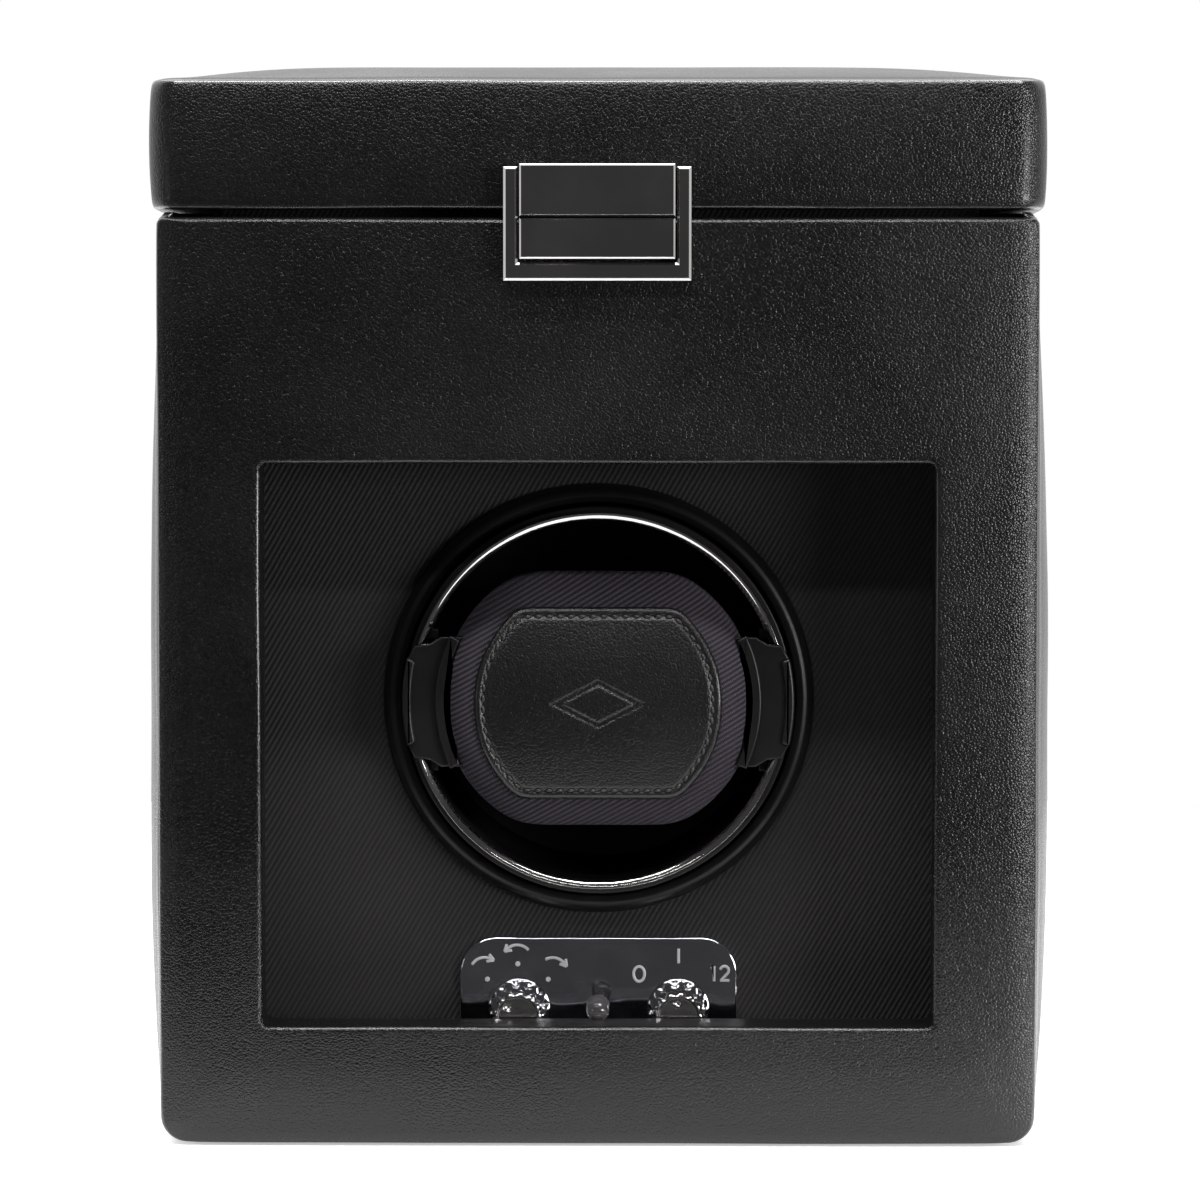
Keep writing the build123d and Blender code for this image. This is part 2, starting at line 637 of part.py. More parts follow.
with BuildPart() as dc_jack:
    add(
        turned(
            [
                (0, 86.0), (JACK_R, 86.0), (JACK_R, cover_y[1]), (7.2, cover_y[1]), (7.2, 100.6),
                (6.6, 101.2), (3.1, 101.2), (2.75, 100.8), (2.75, 91.0), (1.0, 91.0), (1.0, 100.0),
                (0, 100.0),
            ],
            JACK_X,
            JACK_Z,
        ).part
    )
    block((JACK_X - 4, JACK_X + 4), (78.0, 86.0), (JACK_Z - 3, JACK_Z + 3))
save(dc_jack, "dc_jack")

with BuildPart() as case_screws:
    for screw_x, screw_z in cover_screw_places:
        add(rear_screw(screw_x, screw_z, cover_y[1]))
    for screw_x in hinge_screw_places:
        add(rear_screw(screw_x, body_leaf_screw_z, REAR_Y + LEAF_T))
save(case_screws, "case_screws")

# ---------------------------------------------------------------- hinges
knuckle_pitch = HINGE_W / KNUCKLES


def hinge_leaves(indices, plate_z, tab_z, screw_places):
    """Left and right leaves: a plate, and a tab and knuckle at each given place along the pin."""
    with BuildPart() as leaves:
        for sign in (-1, 1):
            left = sign * HINGE_X - HINGE_W / 2
            block((left, left + HINGE_W), (REAR_Y, REAR_Y + LEAF_T), plate_z)
            for index in indices:
                x0 = left + index * knuckle_pitch + KNUCKLE_GAP / 2
                x1 = x0 + knuckle_pitch - KNUCKLE_GAP
                block((x0, x1), (REAR_Y, REAR_Y + LEAF_T), tab_z)
                with Locations(Location(((x0 + x1) / 2, HINGE_Y, HINGE_Z), (0, 90, 0))):
                    Cylinder(KNUCKLE_R, x1 - x0)
            with Locations(Location((sign * HINGE_X, HINGE_Y, HINGE_Z), (0, 90, 0))):
                Cylinder(HINGE_BORE_R, HINGE_W + 2, mode=Mode.SUBTRACT)
        screw_holes(screw_places, (REAR_Y, REAR_Y + LEAF_T), SCREW_R + 0.1)
    return leaves


hinge_body_leaves = hinge_leaves((0, 2, 4), (184.0, 196.4), (196.4, HINGE_Z), body_leaf_screw_places)
save(hinge_body_leaves, "hinge_body_leaves")
hinge_lid_leaves = hinge_leaves((1, 3), (202.3, 214.5), (HINGE_Z, 202.3), lid_leaf_screw_places)
save(hinge_lid_leaves, "hinge_lid_leaves")

with BuildPart() as hinge_pins:
    with Locations(
        Location((-HINGE_X, HINGE_Y, HINGE_Z), (0, 90, 0)),
        Location((HINGE_X, HINGE_Y, HINGE_Z), (0, 90, 0)),
    ):
        Cylinder(HINGE_PIN_R, HINGE_W + 0.8)
save(hinge_pins, "hinge_pins")

# ---------------------------------------------------------------- lid
def lid_crown(inset, bottom_z, crown_z, edge_z):
    """Lid body with bowed sides and a top that is crowned both ways."""
    half_w = LID_HALF_W - inset
    crown_x = LID_CROWN_X - inset
    half_y = REAR_Y - inset
    with BuildPart() as crown:
        for plane, reach, mode in (
            (front_plane(CROWN_SPAN), crown_x + 0.5, Mode.ADD),
            (side_plane(-CROWN_SPAN), half_y + 0.5, Mode.INTERSECT),
        ):
            with BuildSketch(plane):
                with BuildLine():
                    ThreePointArc((-reach, edge_z), (0, crown_z), (reach, edge_z))
                    Polyline((reach, edge_z), (reach, bottom_z), (-reach, bottom_z), (-reach, edge_z))
                make_face()
            extrude(amount=2 * CROWN_SPAN, mode=mode)
        with BuildSketch(Plane.XY.offset(bottom_z)):
            with BuildLine():
                ThreePointArc((half_w, -half_y), (crown_x, 0), (half_w, half_y))
                Line((half_w, half_y), (-half_w, half_y))
                ThreePointArc((-half_w, half_y), (-crown_x, 0), (-half_w, -half_y))
                Line((-half_w, -half_y), (half_w, -half_y))
            make_face()
        extrude(amount=crown_z - bottom_z + 1, mode=Mode.INTERSECT)
    return crown


with BuildPart() as lid_board:
    block((-BOARD_HALF_W, BOARD_HALF_W), (front_board_y[0], back_board_y[1]), LID_BOARD_Z)
save(lid_board, "lid_board")

with BuildPart() as lid_frame:
    block((-BOARD_HALF_W, BOARD_HALF_W), (front_board_y[0], back_board_y[1]), LID_FRAME_Z)
    block((-LID_INNER_HALF_W, LID_INNER_HALF_W), LID_INNER_Y, LID_FRAME_Z, mode=Mode.SUBTRACT)
    screw_holes(lid_leaf_screw_places, (LID_INNER_Y[1], back_board_y[1] + 1), SCREW_R)
    screw_holes(plate_stud_places, (front_board_y[0] - 1, STUD_DEPTH_Y), STUD_R)
save(lid_frame, "lid_frame")

lid_foam = lid_crown(SKIN, LID_BOARD_Z[1], LID_CROWN_Z - SKIN, LID_EDGE_Z - SKIN)
save(lid_foam, "lid_foam")

lid_leather = lid_crown(0.0, LID_BOTTOM_Z, LID_CROWN_Z, LID_EDGE_Z)
with lid_leather:
    add(lid_foam.part, mode=Mode.SUBTRACT)
    block(
        (-BOARD_HALF_W, BOARD_HALF_W),
        (front_board_y[0], back_board_y[1]),
        (LID_FRAME_Z[0], LID_BOARD_Z[1]),
        mode=Mode.SUBTRACT,
    )
    block(
        (-LID_INNER_HALF_W, LID_INNER_HALF_W),
        LID_INNER_Y,
        (LID_BOTTOM_Z - 1, LID_FRAME_Z[0]),
        mode=Mode.SUBTRACT,
    )
    screw_holes(lid_leaf_screw_places, (back_board_y[1], REAR_Y), SCREW_R)
    screw_holes(plate_stud_places, (FRONT_Y, front_board_y[0]), STUD_R)
save(lid_leather, "lid_leather")

with BuildPart() as lid_lining:
    block((-80.0, 80.0), (-83.0, 86.0), (212.0, LID_BOARD_Z[0]))
    fillet(lid_lining.edges().group_by(Axis.Z)[0], radius=2.5)
save(lid_lining, "lid_lining")

with BuildPart() as lid_screws:
    for screw_x in hinge_screw_places:
        add(rear_screw(screw_x, lid_leaf_screw_z, REAR_Y + LEAF_T))
save(lid_screws, "lid_screws")

# ---------------------------------------------------------------- latch
def studs(places):
    """Fixing studs that run back from the latch into the board behind the leather."""
    for x, z in places:
        with Locations(Location((x, (FRONT_Y + STUD_DEPTH_Y) / 2, z), (90, 0, 0))):
            Cylinder(STUD_R, STUD_DEPTH_Y - FRONT_Y)


arm_inner_half_w = LATCH_FRAME_HALF_W - 3.0
with BuildPart() as latch_frame:
    block((-LATCH_FRAME_HALF_W, LATCH_FRAME_HALF_W), (LATCH_Y + 0.6, FRONT_Y), LATCH_FRAME_Z)
    block(
        (-arm_inner_half_w, arm_inner_half_w),
        (LATCH_Y, FRONT_Y),
        (LATCH_BAR_TOP_Z, LATCH_FRAME_Z[1] + 1),
        mode=Mode.SUBTRACT,
    )
    chamfer(latch_frame.edges().group_by(Axis.Y)[0], length=0.5)
    block(
        (-LATCH_FRAME_HALF_W, LATCH_FRAME_HALF_W),
        (FRONT_Y - 0.6, FRONT_Y),
        (CASE_TOP_Z - 0.7, LATCH_FRAME_Z[1]),
        mode=Mode.SUBTRACT,
    )
    studs(latch_stud_places)
save(latch_frame, "latch_frame")

with BuildPart() as latch_magnet:
    block((-13.0, 13.0), (LATCH_Y + FLAP_T + 0.4, FRONT_Y), (190.4, 195.2))
save(latch_magnet, "latch_magnet")

with BuildPart() as latch_plate:
    block((-LATCH_HALF_W, LATCH_HALF_W), (LATCH_Y, FRONT_Y), LATCH_PLATE_Z)
    chamfer(latch_plate.edges().group_by(Axis.Y)[0], length=0.4)
    for sign in (-1, 1):
        lug_x = sorted((sign * LATCH_HALF_W, sign * (LATCH_HALF_W - LUG_W)))
        block(lug_x, (LATCH_Y + 0.2, LATCH_Y + FLAP_T), (FLAP_AXIS_Z - 1.0, LATCH_PLATE_Z[0]))
    with Locations(Location((0, FLAP_AXIS_Y, FLAP_AXIS_Z), (0, 90, 0))):
        Cylinder(0.5, 2 * LATCH_HALF_W, mode=Mode.SUBTRACT)
    studs(plate_stud_places)
save(latch_plate, "latch_plate")

with BuildPart() as latch_pin:
    with Locations(Location((0, FLAP_AXIS_Y, FLAP_AXIS_Z), (0, 90, 0))):
        Cylinder(0.5, 2 * LATCH_HALF_W - 0.1)
save(latch_pin, "latch_pin")

flap_back_y = LATCH_Y + FLAP_T
with BuildPart() as latch_flap:
    with BuildSketch(side_plane(-LATCH_HALF_W)):
        with BuildLine():
            Polyline(
                (LATCH_Y, FLAP_AXIS_Z), (LATCH_Y, FLAP_BOTTOM_Z + 0.5), (LATCH_Y + 0.5, FLAP_BOTTOM_Z),
                (flap_back_y, FLAP_BOTTOM_Z), (flap_back_y, FLAP_AXIS_Z),
            )
            ThreePointArc(
                (flap_back_y, FLAP_AXIS_Z), (FLAP_AXIS_Y, FLAP_AXIS_Z + FLAP_T / 2), (LATCH_Y, FLAP_AXIS_Z)
            )
        make_face()
    extrude(amount=2 * LATCH_HALF_W)
    for sign in (-1, 1):
        block(
            sorted((sign * (LATCH_HALF_W + 0.1), sign * (LATCH_HALF_W - LUG_W - 0.2))),
            (LATCH_Y - 0.1, flap_back_y + 0.1),
            (FLAP_AXIS_Z - 1.6, FLAP_AXIS_Z + 2.0),
            mode=Mode.SUBTRACT,
        )
    with Locations(Location((0, FLAP_AXIS_Y, FLAP_AXIS_Z), (0, 90, 0))):
        Cylinder(0.55, 2 * LATCH_HALF_W, mode=Mode.SUBTRACT)
save(latch_flap, "latch_flap")

# ---------------------------------------------------------------- cuff
core_z = (DRUM_Z - CORE_HALF_H, DRUM_Z + CORE_HALF_H)
with BuildPart() as cuff_core:
    block((-CORE_HALF_X, CORE_HALF_X), CORE_Y, core_z)
save(cuff_core, "cuff_core")

pillow_outline = barrel_outline(front_plane(CUFF_PILLOW_Y[1], z=DRUM_Z), *CUFF_PILLOW)
with BuildPart() as cuff_pillow:
    extrude(pillow_outline, amount=CUFF_PILLOW_Y[1] - CUFF_PILLOW_Y[0])
    fillet(cuff_pillow.faces().filter_by(Axis.Y).edges(), radius=5.0)
    block((-CORE_HALF_X, CORE_HALF_X), CORE_Y, core_z, mode=Mode.SUBTRACT)
save(cuff_pillow, "cuff_pillow")

with BuildPart() as cuff_patch:
    extrude(barrel_outline(front_plane(CUFF_PILLOW_Y[0], z=DRUM_Z), *CUFF_PATCH), amount=CUFF_PATCH_T)
    fillet(cuff_patch.edges().group_by(Axis.Y)[0], radius=0.6)
save(cuff_patch, "cuff_patch")

for cap_name, side in (("left", -1), ("right", 1)):
    with BuildPart() as cuff_cap:
        with BuildSketch(front_plane(WING_Y[1], z=DRUM_Z)):
            with BuildLine():
                Polyline(
                    (side * 41.6, 9.8), (side * 40.0, 12.4), (side * 37.0, 12.6), (side * 34.4, 14.4),
                    (side * WING_INNER_X, 14.4), (side * WING_INNER_X, -14.4), (side * 34.4, -14.4),
                    (side * 37.0, -12.6), (side * 40.0, -12.4), (side * 41.6, -9.8),
                )
                ThreePointArc((side * 41.6, -9.8), (side * WING_REACH, 0), (side * 41.6, 9.8))
            make_face()
        extrude(amount=WING_Y[1] - WING_Y[0])
        block(
            sorted((side * WING_INNER_X, side * WING_BODY_X)),
            (WING_Y[1], WING_DEPTH_Y),
            (DRUM_Z - 12.6, DRUM_Z + 12.6),
        )
        extrude(pillow_outline, amount=60.0, mode=Mode.SUBTRACT)
    save(cuff_cap, f"cuff_cap_{cap_name}")
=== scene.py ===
import json
import math

import bmesh
import bpy
from mathutils import Matrix, Vector, noise


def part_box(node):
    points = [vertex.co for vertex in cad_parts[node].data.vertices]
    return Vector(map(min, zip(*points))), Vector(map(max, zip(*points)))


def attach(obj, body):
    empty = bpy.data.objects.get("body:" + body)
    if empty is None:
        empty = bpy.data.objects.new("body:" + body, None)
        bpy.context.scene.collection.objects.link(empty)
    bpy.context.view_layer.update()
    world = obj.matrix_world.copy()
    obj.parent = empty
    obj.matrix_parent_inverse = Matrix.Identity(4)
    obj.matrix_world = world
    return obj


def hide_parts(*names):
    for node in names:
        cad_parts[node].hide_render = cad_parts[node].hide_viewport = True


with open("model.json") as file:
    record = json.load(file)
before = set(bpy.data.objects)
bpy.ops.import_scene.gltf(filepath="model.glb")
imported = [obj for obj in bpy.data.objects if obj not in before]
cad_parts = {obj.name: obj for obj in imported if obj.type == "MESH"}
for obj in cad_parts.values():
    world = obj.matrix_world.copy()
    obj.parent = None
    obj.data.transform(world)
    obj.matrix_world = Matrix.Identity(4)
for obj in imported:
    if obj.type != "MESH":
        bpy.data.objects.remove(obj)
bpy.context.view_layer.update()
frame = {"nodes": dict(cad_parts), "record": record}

# Watch winder box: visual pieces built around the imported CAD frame.
# Mesh builders work in millimetres and convert to metres once, in make().
MM = 0.001


# ------------------------------------------------------------------ frame helpers
def span(node):
    """Lowest and highest corner of a CAD node in millimetres."""
    lo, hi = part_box(node)
    return lo / MM, hi / MM


def smoothstep(t):
    t = min(max(t, 0.0), 1.0)
    return t * t * (3.0 - 2.0 * t)


def mix(a, b, t):
    return a + (b - a) * t


# ------------------------------------------------------------------ material graph
class Graph:
    """A Principled material with short calls for adding and joining nodes."""

    def __init__(self, name, **sockets):
        self.material = bpy.data.materials.new(name)
        self.material.use_nodes = True
        self.tree = self.material.node_tree
        self.shader = self.tree.nodes["Principled BSDF"]
        for key, value in sockets.items():
            self.shader.inputs[key.replace("_", " ")].default_value = value
        self.place = self.add("ShaderNodeTexCoord").outputs["Object"]

    def add(self, kind, **attributes):
        node = self.tree.nodes.new(kind)
        for key, value in attributes.items():
            setattr(node, key, value)
        return node

    def put(self, socket, value):
        if isinstance(value, bpy.types.NodeSocket):
            self.tree.links.new(value, socket)
        else:
            socket.default_value = value

    def math(self, operation, a, b=0.0, clamp=False):
        node = self.add("ShaderNodeMath", operation=operation, use_clamp=clamp)
        self.put(node.inputs[0], a)
        self.put(node.inputs[1], b)
        return node.outputs[0]

    def noise(self, scale, detail=3.0, rough=0.5, vector=None):
        node = self.add("ShaderNodeTexNoise")
        self.put(node.inputs["Vector"], vector or self.place)
        node.inputs["Scale"].default_value = scale
        node.inputs["Detail"].default_value = detail
        node.inputs["Roughness"].default_value = rough
        return node.outputs["Fac"]

    def bent(self, scale, amount):
        """The place, pushed about by a noise so that patterns lose their straight edges."""
        push = self.add("ShaderNodeTexNoise")
        self.put(push.inputs["Vector"], self.place)
        push.inputs["Scale"].default_value = scale
        scaled = self.add("ShaderNodeVectorMath", operation="SCALE")
        self.put(scaled.inputs[0], push.outputs["Color"])
        scaled.inputs["Scale"].default_value = amount
        total = self.add("ShaderNodeVectorMath", operation="ADD")
        self.put(total.inputs[0], self.place)
        self.put(total.inputs[1], scaled.outputs[0])
        return total.outputs[0]

    def cells(self, scale, vector=None, feature="DISTANCE_TO_EDGE"):
        node = self.add("ShaderNodeTexVoronoi", feature=feature)
        self.put(node.inputs["Vector"], vector or self.place)
        node.inputs["Scale"].default_value = scale
        return node.outputs["Distance"]

    def ribs(self, direction, pitch, vector=None):
        """Sine ribs from 0 to 1 that repeat every pitch metres along a direction."""
        k = Vector(direction).normalized() * (2.0 * math.pi / pitch)
        dot = self.add("ShaderNodeVectorMath", operation="DOT_PRODUCT")
        self.put(dot.inputs[0], vector or self.place)
        dot.inputs[1].default_value = k
        wave = self.math("SINE", dot.outputs["Value"])
        return self.math("MULTIPLY_ADD", wave, 0.5) if False else self.math("ADD", self.math("MULTIPLY", wave, 0.5), 0.5)

    def spread(self, value, low, high, out_low=0.0, out_high=1.0):
        node = self.add("ShaderNodeMapRange")
        self.put(node.inputs["Value"], value)
        for key, number in (("From Min", low), ("From Max", high), ("To Min", out_low), ("To Max", out_high)):
            node.inputs[key].default_value = number
        return node.outputs["Result"]

    def colours(self, factor, *stops):
        """Colour ramp from (position, grey or colour) stops, into Base Color."""
        node = self.add("ShaderNodeValToRGB")
        self.put(node.inputs["Fac"], factor)
        ramp = node.color_ramp
        while len(ramp.elements) < len(stops):
            ramp.elements.new(0.5)
        for element, (position, colour) in zip(ramp.elements, stops):
            element.position = position
            element.color = (*colour, 1.0)
        self.put(self.shader.inputs["Base Color"], node.outputs["Color"])
        return node.outputs["Color"]

    def roughness(self, factor, low, high):
        self.put(self.shader.inputs["Roughness"], self.spread(factor, 0.3, 0.7, low, high))

    def bump(self, *layers):
        """Chained bumps, each (height socket, strength, distance in metres)."""
        normal = None
        for height, strength, distance in layers:
            node = self.add("ShaderNodeBump")
            node.inputs["Strength"].default_value = strength
            node.inputs["Distance"].default_value = distance
            self.put(node.inputs["Height"], height)
            if normal is not None:
                self.put(node.inputs["Normal"], normal)
            normal = node.outputs["Normal"]
        self.put(self.shader.inputs["Normal"], normal)
        return self.material


def leather(name, dark, light, pebble, rough, strength, wrinkle, fold_gloss):
    """Embossed faux leather: rounded pebbles between fine creases painted darker as shade, soft wrinkles, uneven
    polish.
    """
    g = Graph(name, Roughness=rough, Specular_IOR_Level=0.5, Coat_Roughness=0.12, Coat_IOR=2.0)
    bent = g.bent(900.0, 0.0003)
    edges = g.spread(g.cells(1.0 / pebble, bent), 0.0, 0.32)
    domes = g.math("SUBTRACT", 1.0, g.math("POWER", g.cells(1.0 / pebble, bent, "F1"), 2.0))
    fine = g.noise(4200.0, 4.0, 0.6)
    broad = g.noise(26.0, 3.0, 0.55)
    soft = g.noise(140.0, 2.0, 0.5)
    # Colour: darker in the creases between pebbles, which is painted shade, half and half with random blotches of real
    # tone.
    crease_shade_and_blotch = g.math("ADD", g.math("MULTIPLY", edges, 0.5), g.math("MULTIPLY", broad, 0.5))
    g.colours(crease_shade_and_blotch, (0.25, dark), (0.75, light))
    polish = g.math("ADD", g.math("MULTIPLY", broad, 0.6), g.math("MULTIPLY", fine, 0.4))
    g.roughness(polish, rough - 0.06, rough + 0.08)
    folds = g.add("ShaderNodeNewGeometry").outputs["Pointiness"]
    g.put(g.shader.inputs["Coat Weight"], g.spread(folds, 0.509, 0.528, 0.02, fold_gloss))
    return g.bump(
        (soft, wrinkle, 0.00030),
        (domes, strength, 0.00012),
        (edges, strength * 0.7, 0.00006),
        (fine, strength * 0.3, 0.00003),
    )


def twill(name, dark, light, direction, cross, pitch, rough=0.8, sheen=0.3, strength=0.7):
    """Twill weave: slanted ribs, each broken into yarns across its length; the grooves between them are painted darker
    as shade.
    """
    g = Graph(name, Roughness=rough, Sheen_Weight=sheen, Sheen_Roughness=0.5, Specular_IOR_Level=0.25)
    g.shader.inputs["Sheen Tint"].default_value = (*[min(1.0, c * 9.0) for c in light], 1.0)
    bent = g.bent(90.0, pitch * 0.2)
    ribs = g.ribs(direction, pitch, bent)
    yarns = g.ribs(cross, pitch * 0.42, bent)
    fuzz = g.noise(2600.0, 3.0, 0.7)
    broad = g.noise(30.0, 2.0)
    weave = g.math("ADD", g.math("MULTIPLY", ribs, 0.62), g.math("MULTIPLY", g.math("MULTIPLY", ribs, yarns), 0.38))
    # Colour: the weave makes the grooves between ribs and yarns darker, which is painted shade; fuzz and broad noise
    # add random tone.
    shade = g.math("ADD", g.math("MULTIPLY", weave, 0.7), g.math("MULTIPLY", g.math("ADD", fuzz, broad), 0.15))
    g.colours(shade, (0.12, dark), (0.85, light))
    return g.bump((weave, strength, 0.00022), (fuzz, 0.3, 0.00006))


def moulded(name, dark, light, rough, strength=0.25, grain=2200.0, **sockets):
    """Moulded plastic: spark-eroded texture, faint flow marks and uneven gloss."""
    g = Graph(name, Roughness=rough, **sockets)
    fine = g.noise(grain, 3.0, 0.6)
    broad = g.noise(38.0, 3.0)
    g.colours(broad, (0.35, dark), (0.65, light))
    g.roughness(g.math("ADD", g.math("MULTIPLY", broad, 0.5), g.math("MULTIPLY", fine, 0.5)), rough - 0.05, rough + 0.07)
    return g.bump((fine, strength, 0.00004), (broad, 0.08, 0.0004))


def metal(name, dark, light, rough, brushed=None, scratch=0.06, wave=0.0):
    """Metal with hairline scratches, smudges and, where asked, brushing along one axis."""
    g = Graph(name, Metallic=1.0, Roughness=rough)
    smudge = g.noise(55.0, 4.0, 0.6)
    stretched = g.add("ShaderNodeMapping")
    g.put(stretched.inputs["Vector"], g.place)
    stretched.inputs["Scale"].default_value = brushed or (220.0, 900.0, 2600.0)
    stretched.inputs["Rotation"].default_value = (0.3, 0.5, 0.4) if brushed is None else (0.0, 0.0, 0.0)
    hair = g.noise(1.0, 4.0, 0.7, stretched.outputs["Vector"])
    g.colours(smudge, (0.35, dark), (0.65, light))
    g.roughness(g.math("ADD", g.math("MULTIPLY", smudge, 0.7), g.math("MULTIPLY", hair, 0.3)), max(rough - 0.03, 0.02), rough + 0.06)
    ripples = g.noise(70.0, 1.0, 0.4)
    return g.bump((ripples, wave, 0.0008), (hair, scratch, 0.00003), (smudge, scratch * 0.5, 0.0004))


def fibre(name, dark, light, scale, rough=0.95, strength=0.6):
    """Pressed fibre, foam or felt: matt, speckled at the size of its fibres."""
    g = Graph(name, Roughness=rough, Specular_IOR_Level=0.2)
    coarse = g.noise(scale, 5.0, 0.7)
    pores = g.cells(scale * 1.6, feature="F1")
    g.colours(coarse, (0.3, dark), (0.7, light))
    return g.bump((coarse, strength, 0.0003), (pores, strength * 0.5, 0.0002))


def lens(name):
    """Frosted clear lamp body, a little cloudy and lit from within by whatever is behind it."""
    g = Graph(name, Roughness=0.05, IOR=1.46, Transmission_Weight=0.92, Coat_Weight=0.3, Coat_Roughness=0.03)
    haze = g.noise(420.0, 3.0)
    g.colours(haze, (0.35, (0.50, 0.48, 0.48)), (0.65, (0.62, 0.60, 0.60)))
    return g.bump((haze, 0.05, 0.0002))


def circuit(name):
    """Solder-masked board: tracks under the mask."""
    g = Graph(name, Roughness=0.4)
    tracks = g.spread(g.ribs((1.0, 0.0, 1.0), 0.0016, g.bent(120.0, 0.004)), 0.45, 0.55)
    g.colours(tracks, (0.2, (0.006, 0.05, 0.02)), (0.8, (0.015, 0.11, 0.045)))
    return g.bump((tracks, 0.3, 0.00005))


BLACK = (0.0045, 0.0045, 0.0047)
MATERIALS = {
    "case_leather": leather("case_leather", (0.0028, 0.0025, 0.0026), (0.0084, 0.0076, 0.0076), 0.00056, 0.27, 0.62, 0.12, 1.0),
    "patch_leather": leather("patch_leather", (0.0028, 0.0027, 0.0026), (0.0070, 0.0067, 0.0064), 0.00056, 0.34, 0.5, 0.15, 0.1),
    "lining_twill": twill(
        "lining_twill", (0.0095, 0.0088, 0.0092), (0.0320, 0.0298, 0.0308), (0.866, 0.35, -0.5), (0.5, 0.2, 0.866), 0.00100, 0.8, 0.2, 1.0
    ),
    "cushion_twill": twill(
        "cushion_twill", (0.0070, 0.0060, 0.0084), (0.068, 0.057, 0.074), (-0.5, 0.0, 0.866), (0.866, 0.2, 0.5), 0.00100, 0.75, 0.08, 1.3
    ),
    "padding_foam": fibre("padding_foam", (0.20, 0.20, 0.19), (0.34, 0.33, 0.31), 900.0),
    "base_felt": fibre("base_felt", (0.010, 0.010, 0.010), (0.024, 0.024, 0.024), 1500.0),
    "fibreboard": fibre("fibreboard", (0.010, 0.009, 0.009), (0.024, 0.021, 0.019), 700.0, 0.85, 0.3),
    "black_plastic": moulded("black_plastic", BLACK, (0.0080, 0.0080, 0.0083), 0.36, Specular_IOR_Level=0.32),
    "cover_plastic": moulded("cover_plastic", (0.009, 0.009, 0.009), (0.016, 0.016, 0.016), 0.5, 0.5, 1500.0),
    "switch_plastic": moulded("switch_plastic", (0.02, 0.04, 0.09), (0.03, 0.055, 0.12), 0.42),
    "clear_plastic": lens("clear_plastic"),
    "chrome": metal("chrome", (0.66, 0.65, 0.64), (0.78, 0.765, 0.75), 0.06, wave=0.03),
    "dark_chrome": metal("dark_chrome", (0.34, 0.35, 0.39), (0.42, 0.43, 0.47), 0.07, wave=0.2),
    "hinge_steel": metal("hinge_steel", (0.36, 0.36, 0.37), (0.46, 0.46, 0.47), 0.26, (60.0, 900.0, 2400.0), 0.2),
    "screw_steel": metal("screw_steel", (0.30, 0.30, 0.31), (0.42, 0.42, 0.43), 0.24, None, 0.15),
    "motor_steel": metal("motor_steel", (0.34, 0.34, 0.34), (0.46, 0.46, 0.45), 0.3, (900.0, 60.0, 900.0), 0.2),
    "magnet_steel": metal("magnet_steel", (0.24, 0.24, 0.25), (0.34, 0.34, 0.35), 0.32, (60.0, 900.0, 2000.0), 0.2),
    "bush_bronze": metal("bush_bronze", (0.36, 0.22, 0.10), (0.46, 0.29, 0.14), 0.34, (1200.0, 60.0, 1200.0), 0.2),
    "belt_rubber": moulded("belt_rubber", (0.008, 0.008, 0.008), (0.016, 0.016, 0.016), 0.7, 0.6, 3000.0),
    "circuit_board": circuit("circuit_board"),
}
for entry in frame["record"]["subparts"]:
    shown = frame["nodes"][entry["node"]]
    shown.data.materials.clear()
    shown.data.materials.append(MATERIALS[entry["material_slot"]])

# Materials that no CAD slot has, for some pieces and the details added to them.
FASCIA = metal("fascia_finish", (0.70, 0.71, 0.78), (0.80, 0.81, 0.88), 0.06, wave=1.0)
MARK = moulded("mark_enamel", (0.34, 0.34, 0.35), (0.46, 0.46, 0.47), 0.3)
THREAD = moulded("stitch_thread", (0.014, 0.013, 0.013), (0.030, 0.028, 0.027), 0.42, 0.5, 5200.0)
# Near black, darker than the black plastic itself: painted shade for grooves. No piece is given this material.
PAINTED_GROOVE_SHADE = moulded("painted_groove_shade", (0.0012, 0.0012, 0.0012), (0.0022, 0.0022, 0.0022), 0.6)


# ------------------------------------------------------------------ mesh helpers
def make(name, verts, faces, body, slot, replaces=(), sharp=40.0, material=None, levels=0):
    """Object from millimetre vertices: smooth, with edges sharper than the angle kept crisp."""
    mesh = bpy.data.meshes.new(name)
    mesh.from_pydata([Vector(v) * MM for v in verts], [], faces)
    tidy = bmesh.new()
    tidy.from_mesh(mesh)
    bmesh.ops.remove_doubles(tidy, verts=tidy.verts, dist=1e-7)
    bmesh.ops.recalc_face_normals(tidy, faces=tidy.faces)
    tidy.to_mesh(mesh)
    tidy.free()
    mesh.shade_smooth()
    mesh.set_sharp_from_angle(angle=math.radians(sharp))
    piece = bpy.data.objects.new(name, mesh)
    bpy.context.scene.collection.objects.link(piece)
    mesh.materials.append(material or MATERIALS[slot])
    if levels:
        modifier = piece.modifiers.new("subdivision", "SUBSURF")
        modifier.levels = modifier.render_levels = levels
    if replaces:
        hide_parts(*replaces)
    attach(piece, body)
    return piece


def loft(rings, closed=False, caps=(False, False)):
    """Vertices and faces of a skin through rings of equal count."""
    count = len(rings[0])
    verts = [p for ring in rings for p in ring]
    faces = []
    last = len(rings) if closed else len(rings) - 1
    for i in range(last):
        a, b = i * count, ((i + 1) % len(rings)) * count
        faces += [(a + k, a + (k + 1) % count, b + (k + 1) % count, b + k) for k in range(count)]
    if caps[0]:
        faces.append(tuple(reversed(range(count))))
    if caps[1]:
        faces.append(tuple(range((len(rings) - 1) * count, len(rings) * count)))
    return verts, faces


def merged(*parts):
    """Several (verts, faces) as one."""
    verts, faces = [], []
    for some_verts, some_faces in parts:
        base = len(verts)
        verts += some_verts
        faces += [tuple(base + i for i in face) for face in some_faces]
    return verts, faces


